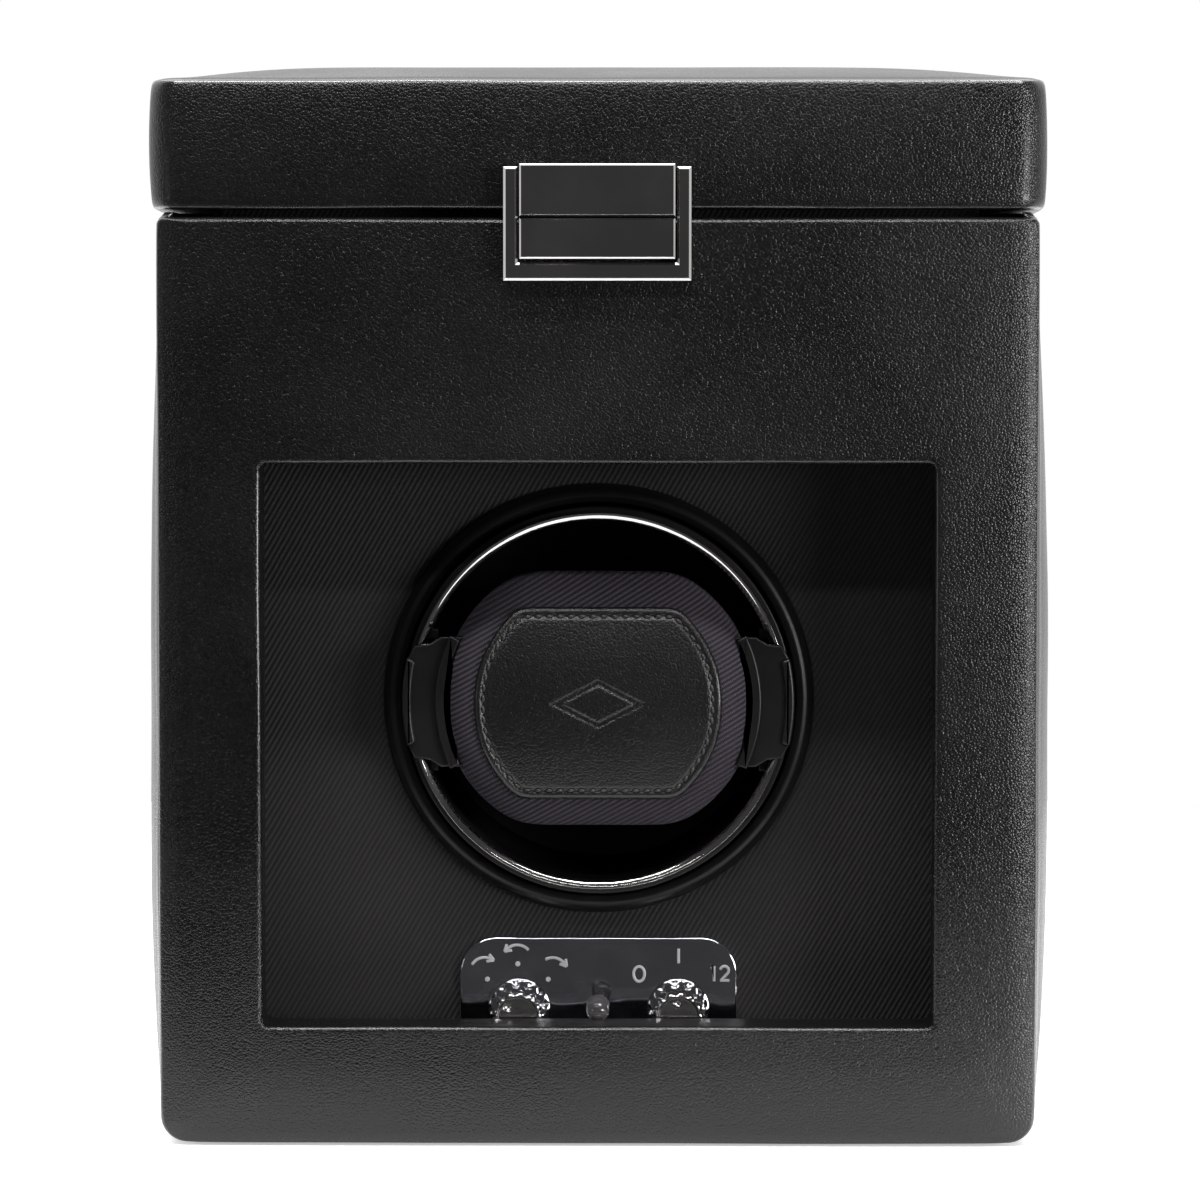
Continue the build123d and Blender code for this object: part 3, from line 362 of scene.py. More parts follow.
def rectangle(half_w, low, high, r_low, r_high, corner=6, side=12, centre=0.0):
    """Rounded rectangle as (a, b) points, always with the same count, from the lower left."""
    spots = (
        (centre - half_w + r_low, low + r_low, r_low, 180.0),
        (centre + half_w - r_low, low + r_low, r_low, 270.0),
        (centre + half_w - r_high, high - r_high, r_high, 0.0),
        (centre - half_w + r_high, high - r_high, r_high, 90.0),
    )
    arcs = []
    for a, b, r, start in spots:
        turns = [math.radians(start + 90.0 * k / (corner - 1)) for k in range(corner)]
        arcs.append([(a + r * math.cos(t), b + r * math.sin(t)) for t in turns])
    points = []
    for i, arc in enumerate(arcs):
        ahead = arcs[(i + 1) % 4][0]
        points += arc
        points += [
            (mix(arc[-1][0], ahead[0], k / (side + 1)), mix(arc[-1][1], ahead[1], k / (side + 1)))
            for k in range(1, side + 1)
        ]
    return points


def between(first, second, t):
    return [(mix(p[0], q[0], t), mix(p[1], q[1], t)) for p, q in zip(first, second)]


def ripple(point, size, wave):
    """A small smooth push, the same every run, for hand-wrapped surfaces."""
    push = noise.noise_vector(Vector(point) / wave)
    return tuple(c + size * d for c, d in zip(point, push))


def revolve(profile, x, z, turns=128):
    """Skin round a front-to-back axis from (radius, y) points; a closed profile makes a closed ring."""
    rings = []
    for r, y in profile:
        rings.append([
            (x + r * math.cos(2 * math.pi * k / turns), y, z + r * math.sin(2 * math.pi * k / turns))
            for k in range(turns)
        ])
    return rings


def rounded_profile(points, radius, steps=4, closed=True):
    """A polyline with each corner rounded, so that machined and moulded edges catch light."""
    result = []
    count = len(points)
    for i, here in enumerate(points):
        if not closed and i in (0, count - 1):
            result.append(tuple(here))
            continue
        p = Vector(here)
        back = Vector(points[i - 1]) - p
        on = Vector(points[(i + 1) % count]) - p
        reach = min(radius, back.length * 0.45, on.length * 0.45)
        a, b = p + back.normalized() * reach, p + on.normalized() * reach
        for k in range(steps + 1):
            t = k / steps
            result.append(tuple(a * (1 - t) ** 2 + p * 2 * t * (1 - t) + b * t * t))
    return result


def slab(outline, y_front, y_back, edge=0.3, steps=3, back_edge=0.0):
    """Closed plate from an outline in X and Z, with its front edges rounded over."""
    poly = [Vector(p) for p in outline]
    area = sum(a.x * b.y - b.x * a.y for a, b in zip(poly, poly[1:] + poly[:1]))
    if area < 0:
        poly.reverse()

    def inset(amount):
        out = []
        for i, p in enumerate(poly):
            before, after = poly[i - 1], poly[(i + 1) % len(poly)]
            d0, d1 = (p - before).normalized(), (after - p).normalized()
            n0, n1 = Vector((-d0.y, d0.x)), Vector((-d1.y, d1.x))
            bisector = (n0 + n1).normalized()
            out.append(p + bisector * (amount / max(bisector.dot(n0), 0.35)))
        return out

    deep = 1.0 if y_back > y_front else -1.0
    rings = []
    if back_edge:
        rings.append([(p.x, y_back, p.y) for p in inset(back_edge)])
        rings.append([(p.x, y_back - deep * back_edge, p.y) for p in poly])
    else:
        rings.append([(p.x, y_back, p.y) for p in poly])
    for k in range(steps + 1):
        t = math.pi / 2 * k / steps
        ring = inset(edge * (1 - math.cos(t)))
        rings.append([(p.x, y_front + deep * edge * (1 - math.sin(t)), p.y) for p in ring])
    rings.append([(p.x, y_front, p.y) for p in inset(edge + 0.06)])
    return loft(rings, caps=(True, True))


def arc_points(centre, radius, start, end, count):
    return [
        (
            centre[0] + radius * math.cos(math.radians(mix(start, end, k / (count - 1)))),
            centre[1] + radius * math.sin(math.radians(mix(start, end, k / (count - 1)))),
        )
        for k in range(count)
    ]


def barrel(top_half_w, half_h, half_w, power=2.2, per_side=14):
    """Outline with a straight top and bottom and bowed ends, corners softened, counter-clockwise."""
    heights = [half_h * k / per_side for k in range(-per_side, per_side + 1)]
    right = [(half_w - (half_w - top_half_w) * abs(z / half_h) ** power, z) for z in heights]
    left = [(-x, -z) for x, z in right]
    top = [(mix(top_half_w, -top_half_w, k / per_side), half_h) for k in range(1, per_side)]
    bottom = [(-x, -z) for x, z in top]
    points = [Vector(p) for p in right + top + left + bottom]
    for _ in range(3):
        count = len(points)
        points = [
            points[i] * 0.5 + points[i - 1] * 0.25 + points[(i + 1) % count] * 0.25 for i in range(count)
        ]
    return [(p.x, p.y) for p in points]


# ------------------------------------------------------------------ wrapped panels
def wrapped_panel(name, node, opening, front_y, back_y, deep_y, roll, outer):
    """Leather wrapped over a board and turned into its opening: one closed skin.

    opening is (half width, low, high, corner radius); outer is (half width, low, high, low and high corner radius).
    """
    out = 1.0 if front_y > 0 else -1.0
    half_w, low, high, r = opening
    edge_w, edge_low, edge_high, r_low, r_high = outer

    def hole(d):
        return rectangle(half_w + d, low - d, high + d, r + d, r + d)

    def rim(e):
        return rectangle(edge_w - e * 2.4, edge_low + e * 0.9, edge_high - e * 0.45, max(r_low - e, 0.4), max(r_high - e, 0.4))

    def eased(x, y, z):
        """The face falls back a little near its sides and foot, where the leather is pulled round."""
        near_side = max(0.0, 1.0 - (edge_w - abs(x)) / 24.0)
        near_foot = max(0.0, 1.0 - (z - edge_low) / 17.0)
        fall = 1.1 * near_side ** 2 + 1.5 * near_foot ** 2
        return y - out * fall * (1.0 - min(1.0, abs(y - front_y) / 2.8))

    skin = [(hole(0.5), deep_y), (hole(0.5), deep_y + out * 0.6), (hole(0.25), mix(deep_y, front_y, 0.5))]
    skin.append((hole(0.0), front_y - out * (roll + 0.4)))
    for k in range(6):
        t = math.pi / 2 * k / 5
        skin.append((hole(roll * (1 - math.cos(t))), front_y - out * roll * (1 - math.sin(t))))
    near, far = hole(roll + 2.2), rim(roll + 1.4)
    skin.append((near, front_y))
    skin += [(between(near, far, k / 10), front_y) for k in range(1, 11)]
    side_roll = 2.6
    for k in range(7):
        t = math.pi / 2 * k / 6
        skin.append((rim(side_roll * (1 - math.sin(t))), front_y - out * side_roll * (1 - math.cos(t))))
    skin.append((rim(0.3), back_y + out * 0.1))
    skin.append((rim(1.1), back_y - out * 0.6))
    inner = rectangle(edge_w - 1.6, edge_low + 1.6, edge_high - 0.1, 4.4, 0.6)
    skin.append((inner, back_y - out * 1.2))
    skin += [(inner, deep_y), (hole(1.6), deep_y), (hole(0.9), deep_y)]
    rings = [[ripple((a, eased(a, y, b), b), 0.16, 24.0) for a, b in ring] for ring, y in skin]
    verts, faces = loft(rings, closed=True)
    return make(name, verts, faces, "case", "case_leather", (node,), sharp=75.0, levels=1)


front_lo, front_hi = span("front_leather")
window_lo, window_hi = span("module_board")
WINDOW = (71.7, 25.8, 146.4, 1.4)
CASE_RIM = (front_hi.x, front_lo.z - 0.7, front_hi.z, 6.0, 1.8)
wrapped_panel("front_panel", "front_leather", WINDOW, front_lo.y, front_lo.y + 3.0, front_hi.y, 1.1, CASE_RIM)

back_lo, back_hi = span("back_leather")
cover_lo, cover_hi = span("rear_cover")
COVER_HOLE = (cover_hi.x + 0.3, cover_lo.z - 0.3, cover_hi.z + 0.3, 5.3)
wrapped_panel("back_panel", "back_leather", COVER_HOLE, back_hi.y, back_hi.y - 3.0, back_lo.y + 9.0, 0.9, CASE_RIM)


# ------------------------------------------------------------------ padded sides
def side_pad(side, crown):
    """Padded side panel: foam under leather, tight at its edges and fullest below the middle."""
    leather_lo, leather_hi = span(f"side_leather_{'right' if side > 0 else 'left'}")
    edge_y = leather_hi.y - 0.2
    low, high = leather_lo.z, leather_hi.z
    back_x = 91.2
    columns, rows = 56, 64
    fullest = 90.0

    def base(z):
        drop = max(0.0, 7.0 - (z - low + 1.0))
        return 87.6 + math.sqrt(max(0.0, 36.0 - drop * drop))

    def lift(u, z):
        if z > fullest:
            tall = 1.0 - ((z - fullest) / (high - fullest)) ** 2.4
        else:
            tall = 1.0 - ((fullest - z) / (fullest - low)) ** 4.2
        return max(0.0, 1.0 - abs(u) ** 5) ** 0.8 * max(tall, 0.0)

    def spaced(t):
        """Even steps in the middle and short ones at both ends."""
        return math.sin(t * math.pi / 2) * 0.55 + t * 0.45

    grid = []
    for j in range(rows + 1):
        z = mix(low, high, (spaced(2.0 * j / rows - 1.0) + 1) / 2)
        row = []
        for i in range(columns + 1):
            u = spaced(2.0 * i / columns - 1.0)
            edge = min(1.0, (edge_y * (1 - abs(u))) / 2.2)
            top = min(1.0, (high - z) / 1.8)
            x = base(z) - 1.6 * (1 - math.sqrt(1 - (1 - edge) ** 2)) - 1.4 * (1 - math.sqrt(1 - (1 - top) ** 2))
            x += crown * lift(u, z) + 0.22 * noise.noise(Vector((side * 9.0, u * 3.1, z / 34.0)))
            row.append((side * x, u * edge_y, z))
        grid.append(row)
    verts = [p for row in grid for p in row]
    width = columns + 1
    faces = [
        (j * width + i, j * width + i + 1, (j + 1) * width + i + 1, (j + 1) * width + i)
        for j in range(rows) for i in range(columns)
    ]
    rim = [j * width + i for j, i in (
        [(0, i) for i in range(columns)] + [(j, columns) for j in range(rows)]
        + [(rows, i) for i in range(columns, 0, -1)] + [(j, 0) for j in range(rows, 0, -1)]
    )]
    start = len(verts)
    verts += [(side * min(back_x, abs(verts[i][0]) - 0.4), verts[i][1], verts[i][2]) for i in rim]
    count = len(rim)
    faces += [(rim[k], start + k, start + (k + 1) % count, rim[(k + 1) % count]) for k in range(count)]
    faces.append(tuple(range(start, start + count)))
    word = "right" if side > 0 else "left"
    pad = make(
        f"side_pad_{word}", verts, faces, "case", "case_leather",
        (f"side_leather_{word}", f"side_foam_{word}"), sharp=60.0,
    )


side_pad(-1.0, 5.5)
side_pad(1.0, 5.8)

# Leather turned over the tops of the side boards, which the closed lid all but touches.
liner_y = (span("storage_liner")[0].y, span("storage_liner")[1].y)
for side, word in ((-1.0, "left"), (1.0, "right")):
    rim_rings = []
    for e, z in ((0.0, 196.8), (0.0, 198.6), (0.25, 199.3), (0.8, 199.75), (1.6, 199.85), (3.2, 199.9)):
        plan = rectangle(5.1 - e, liner_y[0] + e, liner_y[1] - e, 0.6, 0.6, 4, 16, side * 87.4)
        rim_rings.append([ripple((x, y, z), 0.08, 18.0) for x, y in plan])
    make(f"side_rim_{word}", *loft(rim_rings, caps=(True, True)), "case", "case_leather", sharp=75.0)


# ------------------------------------------------------------------ lid
lid_lo, lid_hi = span("lid_leather")
opening_lo, opening_hi = Vector((-83.0, -86.0)), Vector((83.0, 89.0))


def lid_outline(inset, bow=3.0):
    """Plan of the lid, its sides bowed out in the middle, as (x, y)."""
    half_y = lid_hi.y - inset
    corner_r = 6.5 - inset * 0.5
    points = rectangle(lid_hi.x - bow - inset, -half_y, half_y, corner_r, corner_r, 9, 24)
    plan = []
    for x, y in points:
        side = math.copysign(bow * (1 - (y / lid_hi.y) ** 2), x) * min(1.0, abs(x) / 60.0)
        ease = 1.0 * max(0.0, (abs(x) - 60.0) / 35.0) ** 2 if abs(y) > 88.0 else 0.0
        plan.append((x + side, y - math.copysign(ease, y)))
    return plan


def lid_crown(x, y, edge_z):
    across = 1.0 - min(1.0, abs(x) / (lid_hi.x - 0.6)) ** 8
    along = 1.0 - min(1.0, abs(y) / (lid_hi.y - 0.4)) ** 1.8
    return edge_z + (lid_hi.z - edge_z - 0.3) * across * along


LID_SHOULDER_Z = 228.0
lid_skin = []
inner_plan = rectangle(opening_hi.x, opening_lo.y, opening_hi.y, 1.5, 1.5, 9, 24)
for e, z in ((0.0, 203.6), (0.0, 201.6)):
    lid_skin.append([(x, y, z) for x, y in inner_plan])
outer_plan = lid_outline(1.9)
for t, z in ((0.05, 200.75), (0.14, 200.45), (0.5, 200.35), (0.86, 200.3)):
    lid_skin.append([(x, y, z) for x, y in between(inner_plan, outer_plan, t)])
for e, z in (
    (1.9, 200.3), (1.35, 200.38), (0.9, 200.65), (0.62, 201.15), (0.45, 202.2), (0.28, 204.5), (0.08, 208.0), (0.0, 212.0),
    (0.0, 216.5), (0.1, 220.5), (0.26, 223.8), (0.42, 226.0), (0.62, 227.1), (0.95, 227.65), (1.4, 227.85), (2.0, 227.95),
):
    lid_skin.append([(x, y, z) for x, y in lid_outline(e)])
shoulder = lid_outline(3.2)
scales = [1.0, 0.985, 0.965, 0.94, 0.91, 0.87, 0.82, 0.75, 0.66, 0.55, 0.43, 0.3, 0.17, 0.06]
for s in scales:
    lid_skin.append([(x * s, y * s, lid_crown(x * s, y * s, LID_SHOULDER_Z)) for x, y in shoulder])
lid_skin = [[ripple(p, 0.2, 30.0) for p in ring] for ring in lid_skin]
verts, faces = loft(lid_skin, caps=(False, True))
lid_cover = make("lid_cover", verts, faces, "lid", "case_leather", ("lid_leather", "lid_foam"), sharp=75.0, levels=1)

# Inside of the lid: twill over the frame's walls, and a padded panel.
wall_rings = [
    [(x, y, z) for x, y in rectangle(83.0 - e, -86.0 + e, 89.0 - e, 1.5, 1.5, 7, 24)]
    for e, z in ((-6.0, 201.75), (-1.0, 201.6), (-0.2, 201.65), (0.15, 202.0), (0.25, 203.0), (0.25, 216.9), (-6.0, 216.95))
]
verts, faces = loft(wall_rings, closed=True)
make("lid_wall_lining", verts, faces, "lid", "lining_twill", ("lid_frame",), sharp=50.0)


def cushion(half_x, y_span, z_span, crown, seam, side=14, flat_back=True):
    """Closed crowned pad facing down or up: rings from its back plane, over its edge, to its middle."""
    back_z, face_z = z_span
    out = 1.0 if face_z > back_z else -1.0
    mid_y = (y_span[0] + y_span[1]) / 2
    half_y = (y_span[1] - y_span[0]) / 2
    rings = []
    profile = [(seam, 0.0), (0.4, 0.25), (0.0, 0.5), (0.25, 0.72), (0.9, 0.88), (2.0, 0.97)]
    for e, level in profile:
        ring = rectangle(half_x - e, -half_y + e, half_y - e, 2.6, 2.6, 6, side)
        rings.append([(x, y + mid_y, mix(back_z, face_z, level)) for x, y in ring])
    base = rectangle(half_x - 3.2, -half_y + 3.2, half_y - 3.2, 2.6, 2.6, 6, side)
    for s in (1.0, 0.96, 0.9, 0.8, 0.66, 0.5, 0.3, 0.1):
        rings.append([
            (x * s, y * s + mid_y, face_z + out * crown * (1 - (abs(x * s) / half_x) ** 4) * (1 - (abs(y * s) / half_y) ** 4))
            for x, y in base
        ])
    return loft(rings, caps=(True, True))


lining_lo, lining_hi = span("lid_lining")
verts, faces = cushion(
    lining_hi.x, (lining_lo.y, lining_hi.y), (lining_hi.z, lining_lo.z + 1.0), 1.2, 1.0
)
make("lid_pad", verts, faces, "lid", "lining_twill", ("lid_lining",), sharp=60.0)


# ------------------------------------------------------------------ latch
def box_outline(x0, x1, z0, z1):
    return [(x0, z0), (x1, z0), (x1, z1), (x0, z1)]


frame_lo, frame_hi = span("latch_frame")
plate_lo, plate_hi = span("latch_plate")
flap_lo, flap_hi = span("latch_flap")
FRAME_BAR_Z, FRAME_ARM = 189.0, 3.0
u_shape = [
    (frame_lo.x, frame_lo.z), (frame_hi.x, frame_lo.z), (frame_hi.x, frame_hi.z),
    (frame_hi.x - FRAME_ARM, frame_hi.z), (frame_hi.x - FRAME_ARM, FRAME_BAR_Z),
    (frame_lo.x + FRAME_ARM, FRAME_BAR_Z), (frame_lo.x + FRAME_ARM, frame_hi.z), (frame_lo.x, frame_hi.z),
]
verts, faces = slab(u_shape, frame_lo.y, -100.6, 0.5, 1)
feet = slab(box_outline(frame_lo.x + 0.3, frame_hi.x - 0.3, frame_lo.z + 0.3, FRAME_BAR_Z - 0.2), -100.7, -99.9, 0.1, 1)
verts, faces = merged((verts, faces), feet)
make("latch_frame_bar", verts, faces, "case", "chrome", ("latch_frame",), sharp=25.0)

verts, faces = slab(box_outline(plate_lo.x, plate_hi.x, 198.75, plate_hi.z), plate_lo.y, -99.8, 0.36, 1)
make("latch_upper_plate", verts, faces, "lid", "chrome", ("latch_plate",), sharp=25.0)

flap_front = slab(box_outline(flap_lo.x, flap_hi.x, flap_lo.z, 198.35), flap_lo.y, flap_hi.y, 0.36, 1, 0.2)
make("latch_lower_flap", *flap_front, "latch_flap", "chrome", ("latch_flap",), sharp=25.0)


# ------------------------------------------------------------------ bezel, drum and trim ring
DRUM_Z = 94.0
bezel_lo, bezel_hi = span("bezel_ring")
bezel_profile = rounded_profile(
    [
        (43.2, -72.3), (43.2, -63.2), (44.0, -63.2), (44.0, -69.0), (47.3, -69.0), (47.2, -70.2), (46.6, -71.5),
        (45.7, -72.6), (44.6, -73.0),
    ],
    0.35,
)
TURNS = 160
SEAM_TICK = math.radians(270.0)
bezel_rings = revolve(bezel_profile, 0.0, DRUM_Z, TURNS)
for ring in bezel_rings:
    for k, (x, y, z) in enumerate(ring):
        angle = math.atan2(z - DRUM_Z, x) % (2 * math.pi)
        if abs(angle - SEAM_TICK) < math.radians(0.35) and y < -69.1:
            ring[k] = (x, y + 0.5, z)
make("bezel", *loft(bezel_rings, closed=True), "case", "black_plastic", ("bezel_ring",), sharp=50.0)

cup_profile = rounded_profile(
    [
        (3.0, -30.0), (39.4, -30.0), (39.4, -76.0), (42.4, -76.0), (42.4, -27.0), (7.0, -27.0), (7.0, -25.2), (3.0, -25.2),
    ],
    0.4, 3,
)
cup_parts = [loft(revolve(cup_profile, 0.0, DRUM_Z, 128), closed=True)]
for side in (-1, 1):
    for height in (-1, 1):
        x0, x1 = sorted((side * 35.0, side * 39.0))
        z0, z1 = sorted((DRUM_Z + height * 13.2, DRUM_Z + height * 15.6))
        cup_parts.append(slab(box_outline(x0, x1, z0, z1), -74.0, -30.0, 0.4, 2))
make("drum_cup_moulding", *merged(*cup_parts), "drum", "black_plastic", ("drum_cup",), sharp=40.0)
make(
    "drum_floor", *loft(revolve([(0.02, -30.1), (3.4, -30.1), (3.4, -29.2), (0.02, -29.2)], 0.0, DRUM_Z, 48), closed=True),
    "drum", "black_plastic", sharp=40.0,
)

ring_profile = rounded_profile(
    [(39.4, -75.9), (39.4, -77.3), (39.8, -77.9), (40.5, -78.35), (41.0, -78.5), (41.2, -78.2), (41.2, -75.9)], 0.05, 2
)
make("drum_trim_ring", *loft(revolve(ring_profile, 0.0, DRUM_Z, 192), closed=True), "drum", "chrome", ("chrome_ring",), sharp=50.0)


# ------------------------------------------------------------------ cuff
pillow_lo, pillow_hi = span("cuff_pillow")
patch_lo, patch_hi = span("cuff_patch")


def shifted(outline, y, scale_x=1.0, scale_z=1.0):
    return [(x * scale_x, y, z * scale_z + DRUM_Z) for x, z in outline]


def rolled(rings, keep_y=-72.0, full_y=-83.0):
    """The cuff's front falls back towards its top and bottom, as a roll does."""
    return [
        [(x, y + 0.0052 * (z - DRUM_Z) ** 2 * smoothstep((keep_y - y) / (keep_y - full_y)), z) for x, y, z in ring]
        for ring in rings
    ]


full = barrel(18.2, 27.7, 33.5, 2.8)
pillow_rings = []
for y, sx, sz in (
    (-49.0, 0.10, 0.10), (-49.0, 0.45, 0.45), (-49.2, 0.72, 0.74), (-50.2, 0.86, 0.88), (-53.0, 0.945, 0.955),
    (-58.0, 0.985, 0.99), (-65.0, 1.0, 1.005), (-72.0, 0.998, 1.0), (-77.0, 0.992, 0.985), (-80.5, 0.976, 0.955),
    (-83.0, 0.940, 0.905), (-84.6, 0.87, 0.83), (-85.3, 0.80, 0.72), (-85.5, 0.6, 0.5), (-85.5, 0.3, 0.25), (-85.5, 0.08, 0.08),
):
    pillow_rings.append(shifted(full, y, sx, sz))
verts, faces = loft(rolled(pillow_rings), caps=(True, True))
pillow = make("cuff_cushion", verts, faces, "cuff", "cushion_twill", ("cuff_pillow",), sharp=180.0, levels=1)

# Leather patch: thick rim, stitched channel, and an embossed plain mark in the middle.
rim = barrel(17.4, 20.9, 26.8, 2.3, 22)


def lozenge(x, z):
    """Depth from 0 to 1 of the embossed outline, a plain lozenge."""
    ring_edge = abs(abs(x) / 9.0 + abs(z) / 4.6 - 1.0)
    return 1.0 - smoothstep((ring_edge - 0.10) / 0.10)


patch_rings = []
STITCH_INSET = 1.95
steps = [0.0, 0.0, 0.25, 0.6, 1.0, 1.35, 1.6, 1.95, 2.3, 2.6, 3.0]
front_y = patch_lo.y


def inset_ring(outline, amount):
    """An outline moved inwards by an even distance."""
    count = len(outline)
    moved = []
    for i in range(count):
        a, b = Vector(outline[i - 1]), Vector(outline[(i + 1) % count])
        along = (b - a).normalized()
        p = Vector(outline[i]) + Vector((-along.y, along.x)) * amount
        moved.append((p.x, p.y))
    return moved


heights = [-85.1, front_y + 0.62, front_y + 0.24, front_y + 0.06, front_y, front_y + 0.03, front_y + 0.22, front_y + 0.36,
           front_y + 0.22, front_y + 0.03, front_y]
for amount, y in zip(steps, heights):
    patch_rings.append(shifted(inset_ring(rim, amount), y))
inner = inset_ring(rim, 3.0)
for s in [1.0 - 0.0125 * k for k in range(1, 79)]:
    ring = [(x * s, z * s) for x, z in inner]
    patch_rings.append([(x, front_y + 0.28 * lozenge(x, z), z + DRUM_Z) for x, z in ring])
make("cuff_patch_leather", *loft(rolled(patch_rings), caps=(True, True)), "cuff", "patch_leather", ("cuff_patch",), sharp=180.0)


def stitches(path, pitch, length, width, y, tilt):
    """Thread stitches lying in a channel along a closed path of (x, z) points."""
    closed = path + path[:1]
    lengths = [0.0]
    for a, b in zip(closed, closed[1:]):
        lengths.append(lengths[-1] + (Vector(b) - Vector(a)).length)
    count = round(lengths[-1] / pitch)
    parts = []
    for n in range(count):
        target = (n + 0.5) * lengths[-1] / count
        i = max(k for k in range(len(lengths) - 1) if lengths[k] <= target)
        t = (target - lengths[i]) / (lengths[i + 1] - lengths[i])
        a, b = Vector(closed[i]), Vector(closed[i + 1])
        middle, along = a.lerp(b, t), (b - a).normalized()
        along = Matrix.Rotation(tilt, 2) @ along
        across = Vector((-along.y, along.x))
        rings = []
        for k in range(7):
            s = k / 6
            place = middle + along * (s - 0.5) * length
            girth = width / 2 * (math.sin(math.pi * (0.06 + 0.88 * s)) ** 0.6)
            lift = 0.16 - 0.34 * (2 * s - 1) ** 2
            rings.append([
                (
                    place.x + across.x * girth * math.cos(q), y - lift - girth * 0.8 * math.sin(q),
                    place.y + across.y * girth * math.cos(q) + DRUM_Z,
                )
                for q in [2 * math.pi * m / 8 for m in range(8)]
            ])
        parts.append(loft(rings, caps=(True, True)))
    return merged(*parts)


verts, faces = stitches(inset_ring(rim, STITCH_INSET), 2.35, 1.75, 0.8, front_y + 0.2, math.radians(7.0))
verts = rolled([verts])[0]
make("cuff_stitching", verts, faces, "cuff", "patch_leather", material=THREAD, sharp=180.0)


def cuff_cap(side, word):
    """End wing of the cuff: thin plate, raised outer strip and a raised rib beside the pillow."""
    def flip(points):
        return [(side * x, z + DRUM_Z) for x, z in points]

    plate = [(29.0, -14.2), (34.2, -14.2), (36.8, -12.6), (40.0, -12.3), (41.4, -9.6)]
    plate += arc_points((0.0, 0.0), 42.5, -12.5, 12.5, 9)
    plate += [(41.4, 9.6), (40.0, 12.3), (36.8, 12.6), (34.2, 14.2), (29.0, 14.2)]
    parts = [slab(flip(plate), -80.3, -78.8, 0.45, 3)]
    outer = arc_points((0.0, 0.0), 42.7, -13.2, 13.2, 15)
    inner_arc = arc_points((0.0, 0.0), 40.6, 12.6, -12.6, 15)
    strip = rounded_profile(outer + inner_arc, 0.5, 2)
    parts.append(slab(flip(strip), -81.3, -78.9, 0.7, 4))
    rise, half = 3.3, 14.6
    radius = (rise * rise + half * half) / (2 * rise)
    swing = math.degrees(math.asin(half / radius))
    mid = (35.5 - radius, 0.0)
    rib = arc_points(mid, radius, -swing, swing, 17) + arc_points(mid, radius - 2.5, swing, -swing, 17)
    parts.append(slab(flip(rounded_profile(rib, 0.4, 2)), -81.6, -78.9, 0.5, 4))
    body = box_outline(29.0, 36.6, -12.6, 12.6)
    parts.append(slab(flip(body), -79.0, -54.0, 0.3, 2, 0.8))
    make(f"cuff_wing_{word}", *merged(*parts), "cuff", "black_plastic", (f"cuff_cap_{word}",), sharp=35.0)


cuff_cap(-1.0, "left")
cuff_cap(1.0, "right")


# ------------------------------------------------------------------ controls
plate_low, plate_high = span("control_plate")
KNOBS = {"direction": (-17.5, 25.4, 135.0), "power": (17.5, 25.4, 92.0)}


def plate_outline(inset=0.0):
    w, top, r = plate_high.x - inset, plate_high.z - inset, 8.0 - inset
    points = [(-w, plate_low.z), (w, plate_low.z)]
    points += arc_points((w - r, top - r), r, 0.0, 90.0, 10)
    points += arc_points((-w + r, top - r), r, 90.0, 180.0, 10)
    return points


face_y = plate_low.y
parts = [slab(plate_outline(), face_y, plate_high.y - 0.05, 0.45, 3)]
make("control_fascia", *merged(*parts), "case", "dark_chrome", ("control_plate",), sharp=35.0, material=FASCIA)


def ribbon(path, width, y, height=0.24):
    """Raised line of even width along a path of (x, z) points."""
    left, right = [], []
    for i, p in enumerate(path):
        a = Vector(path[max(i - 1, 0)])
        b = Vector(path[min(i + 1, len(path) - 1)])
        along = (b - a).normalized()
        across = Vector((-along.y, along.x)) * width / 2
        left.append(tuple(Vector(p) + across))
        right.append(tuple(Vector(p) - across))
    return slab(left + right[::-1], y - height, y + 0.05, 0.2, 2)


def ring_mark(x, z, rx, rz, width, y):
    outer = [(x + rx * math.cos(t), z + rz * math.sin(t)) for t in [2 * math.pi * k / 28 for k in range(29)]]
    return ribbon(outer, width, y)


def arrow(x, z, size, start, end, y, head_at_end=True):
    """Curved arrow: an arc with a two-stroke head."""
    path = arc_points((x, z), size, start, end, 12)
    tip = Vector(path[-1])
    before = Vector(path[-3])
    along = (tip - before).normalized()
    marks = [ribbon(path, 0.62, y)]
    for turn in (150.0, -150.0):
        wing = Matrix.Rotation(math.radians(turn), 2) @ along * 1.7
        marks.append(ribbon([tuple(tip + along * 0.5), tuple(tip + along * 0.5 + wing)], 0.62, y))
    return marks


marks = []
knob_x = KNOBS["direction"][0]
marks += arrow(knob_x - 7.6, 33.6, 3.2, 150.0, 60.0, face_y)
marks += arrow(knob_x - 0.4, 36.4, 3.2, 40.0, 140.0, face_y)
marks += arrow(knob_x + 7.4, 33.6, 3.2, 120.0, 30.0, face_y)
for dx, dz in ((-7.0, 32.0), (-0.3, 35.4), (6.4, 32.0)):
    dot = [(knob_x + dx + 0.55 * math.cos(t), dz + 0.55 * math.sin(t)) for t in [2 * math.pi * k / 16 for k in range(16)]]
    marks.append(slab(dot, face_y - 0.16, face_y + 0.05, 0.1, 2))
knob_x = KNOBS["power"][0]
marks.append(ring_mark(knob_x - 8.6, 33.2, 1.2, 1.65, 0.62, face_y))
marks.append(ribbon([(knob_x + 0.1, 35.6), (knob_x + 0.1, 38.8)], 0.62, face_y))
marks.append(ribbon([(knob_x + 7.2, 34.4), (knob_x + 7.9, 34.9), (knob_x + 7.9, 31.6)], 0.62, face_y))
marks.append(ribbon(arc_points((knob_x + 10.2, 34.0), 0.95, 170.0, -40.0, 9) + [(knob_x + 9.4, 31.8)], 0.62, face_y))
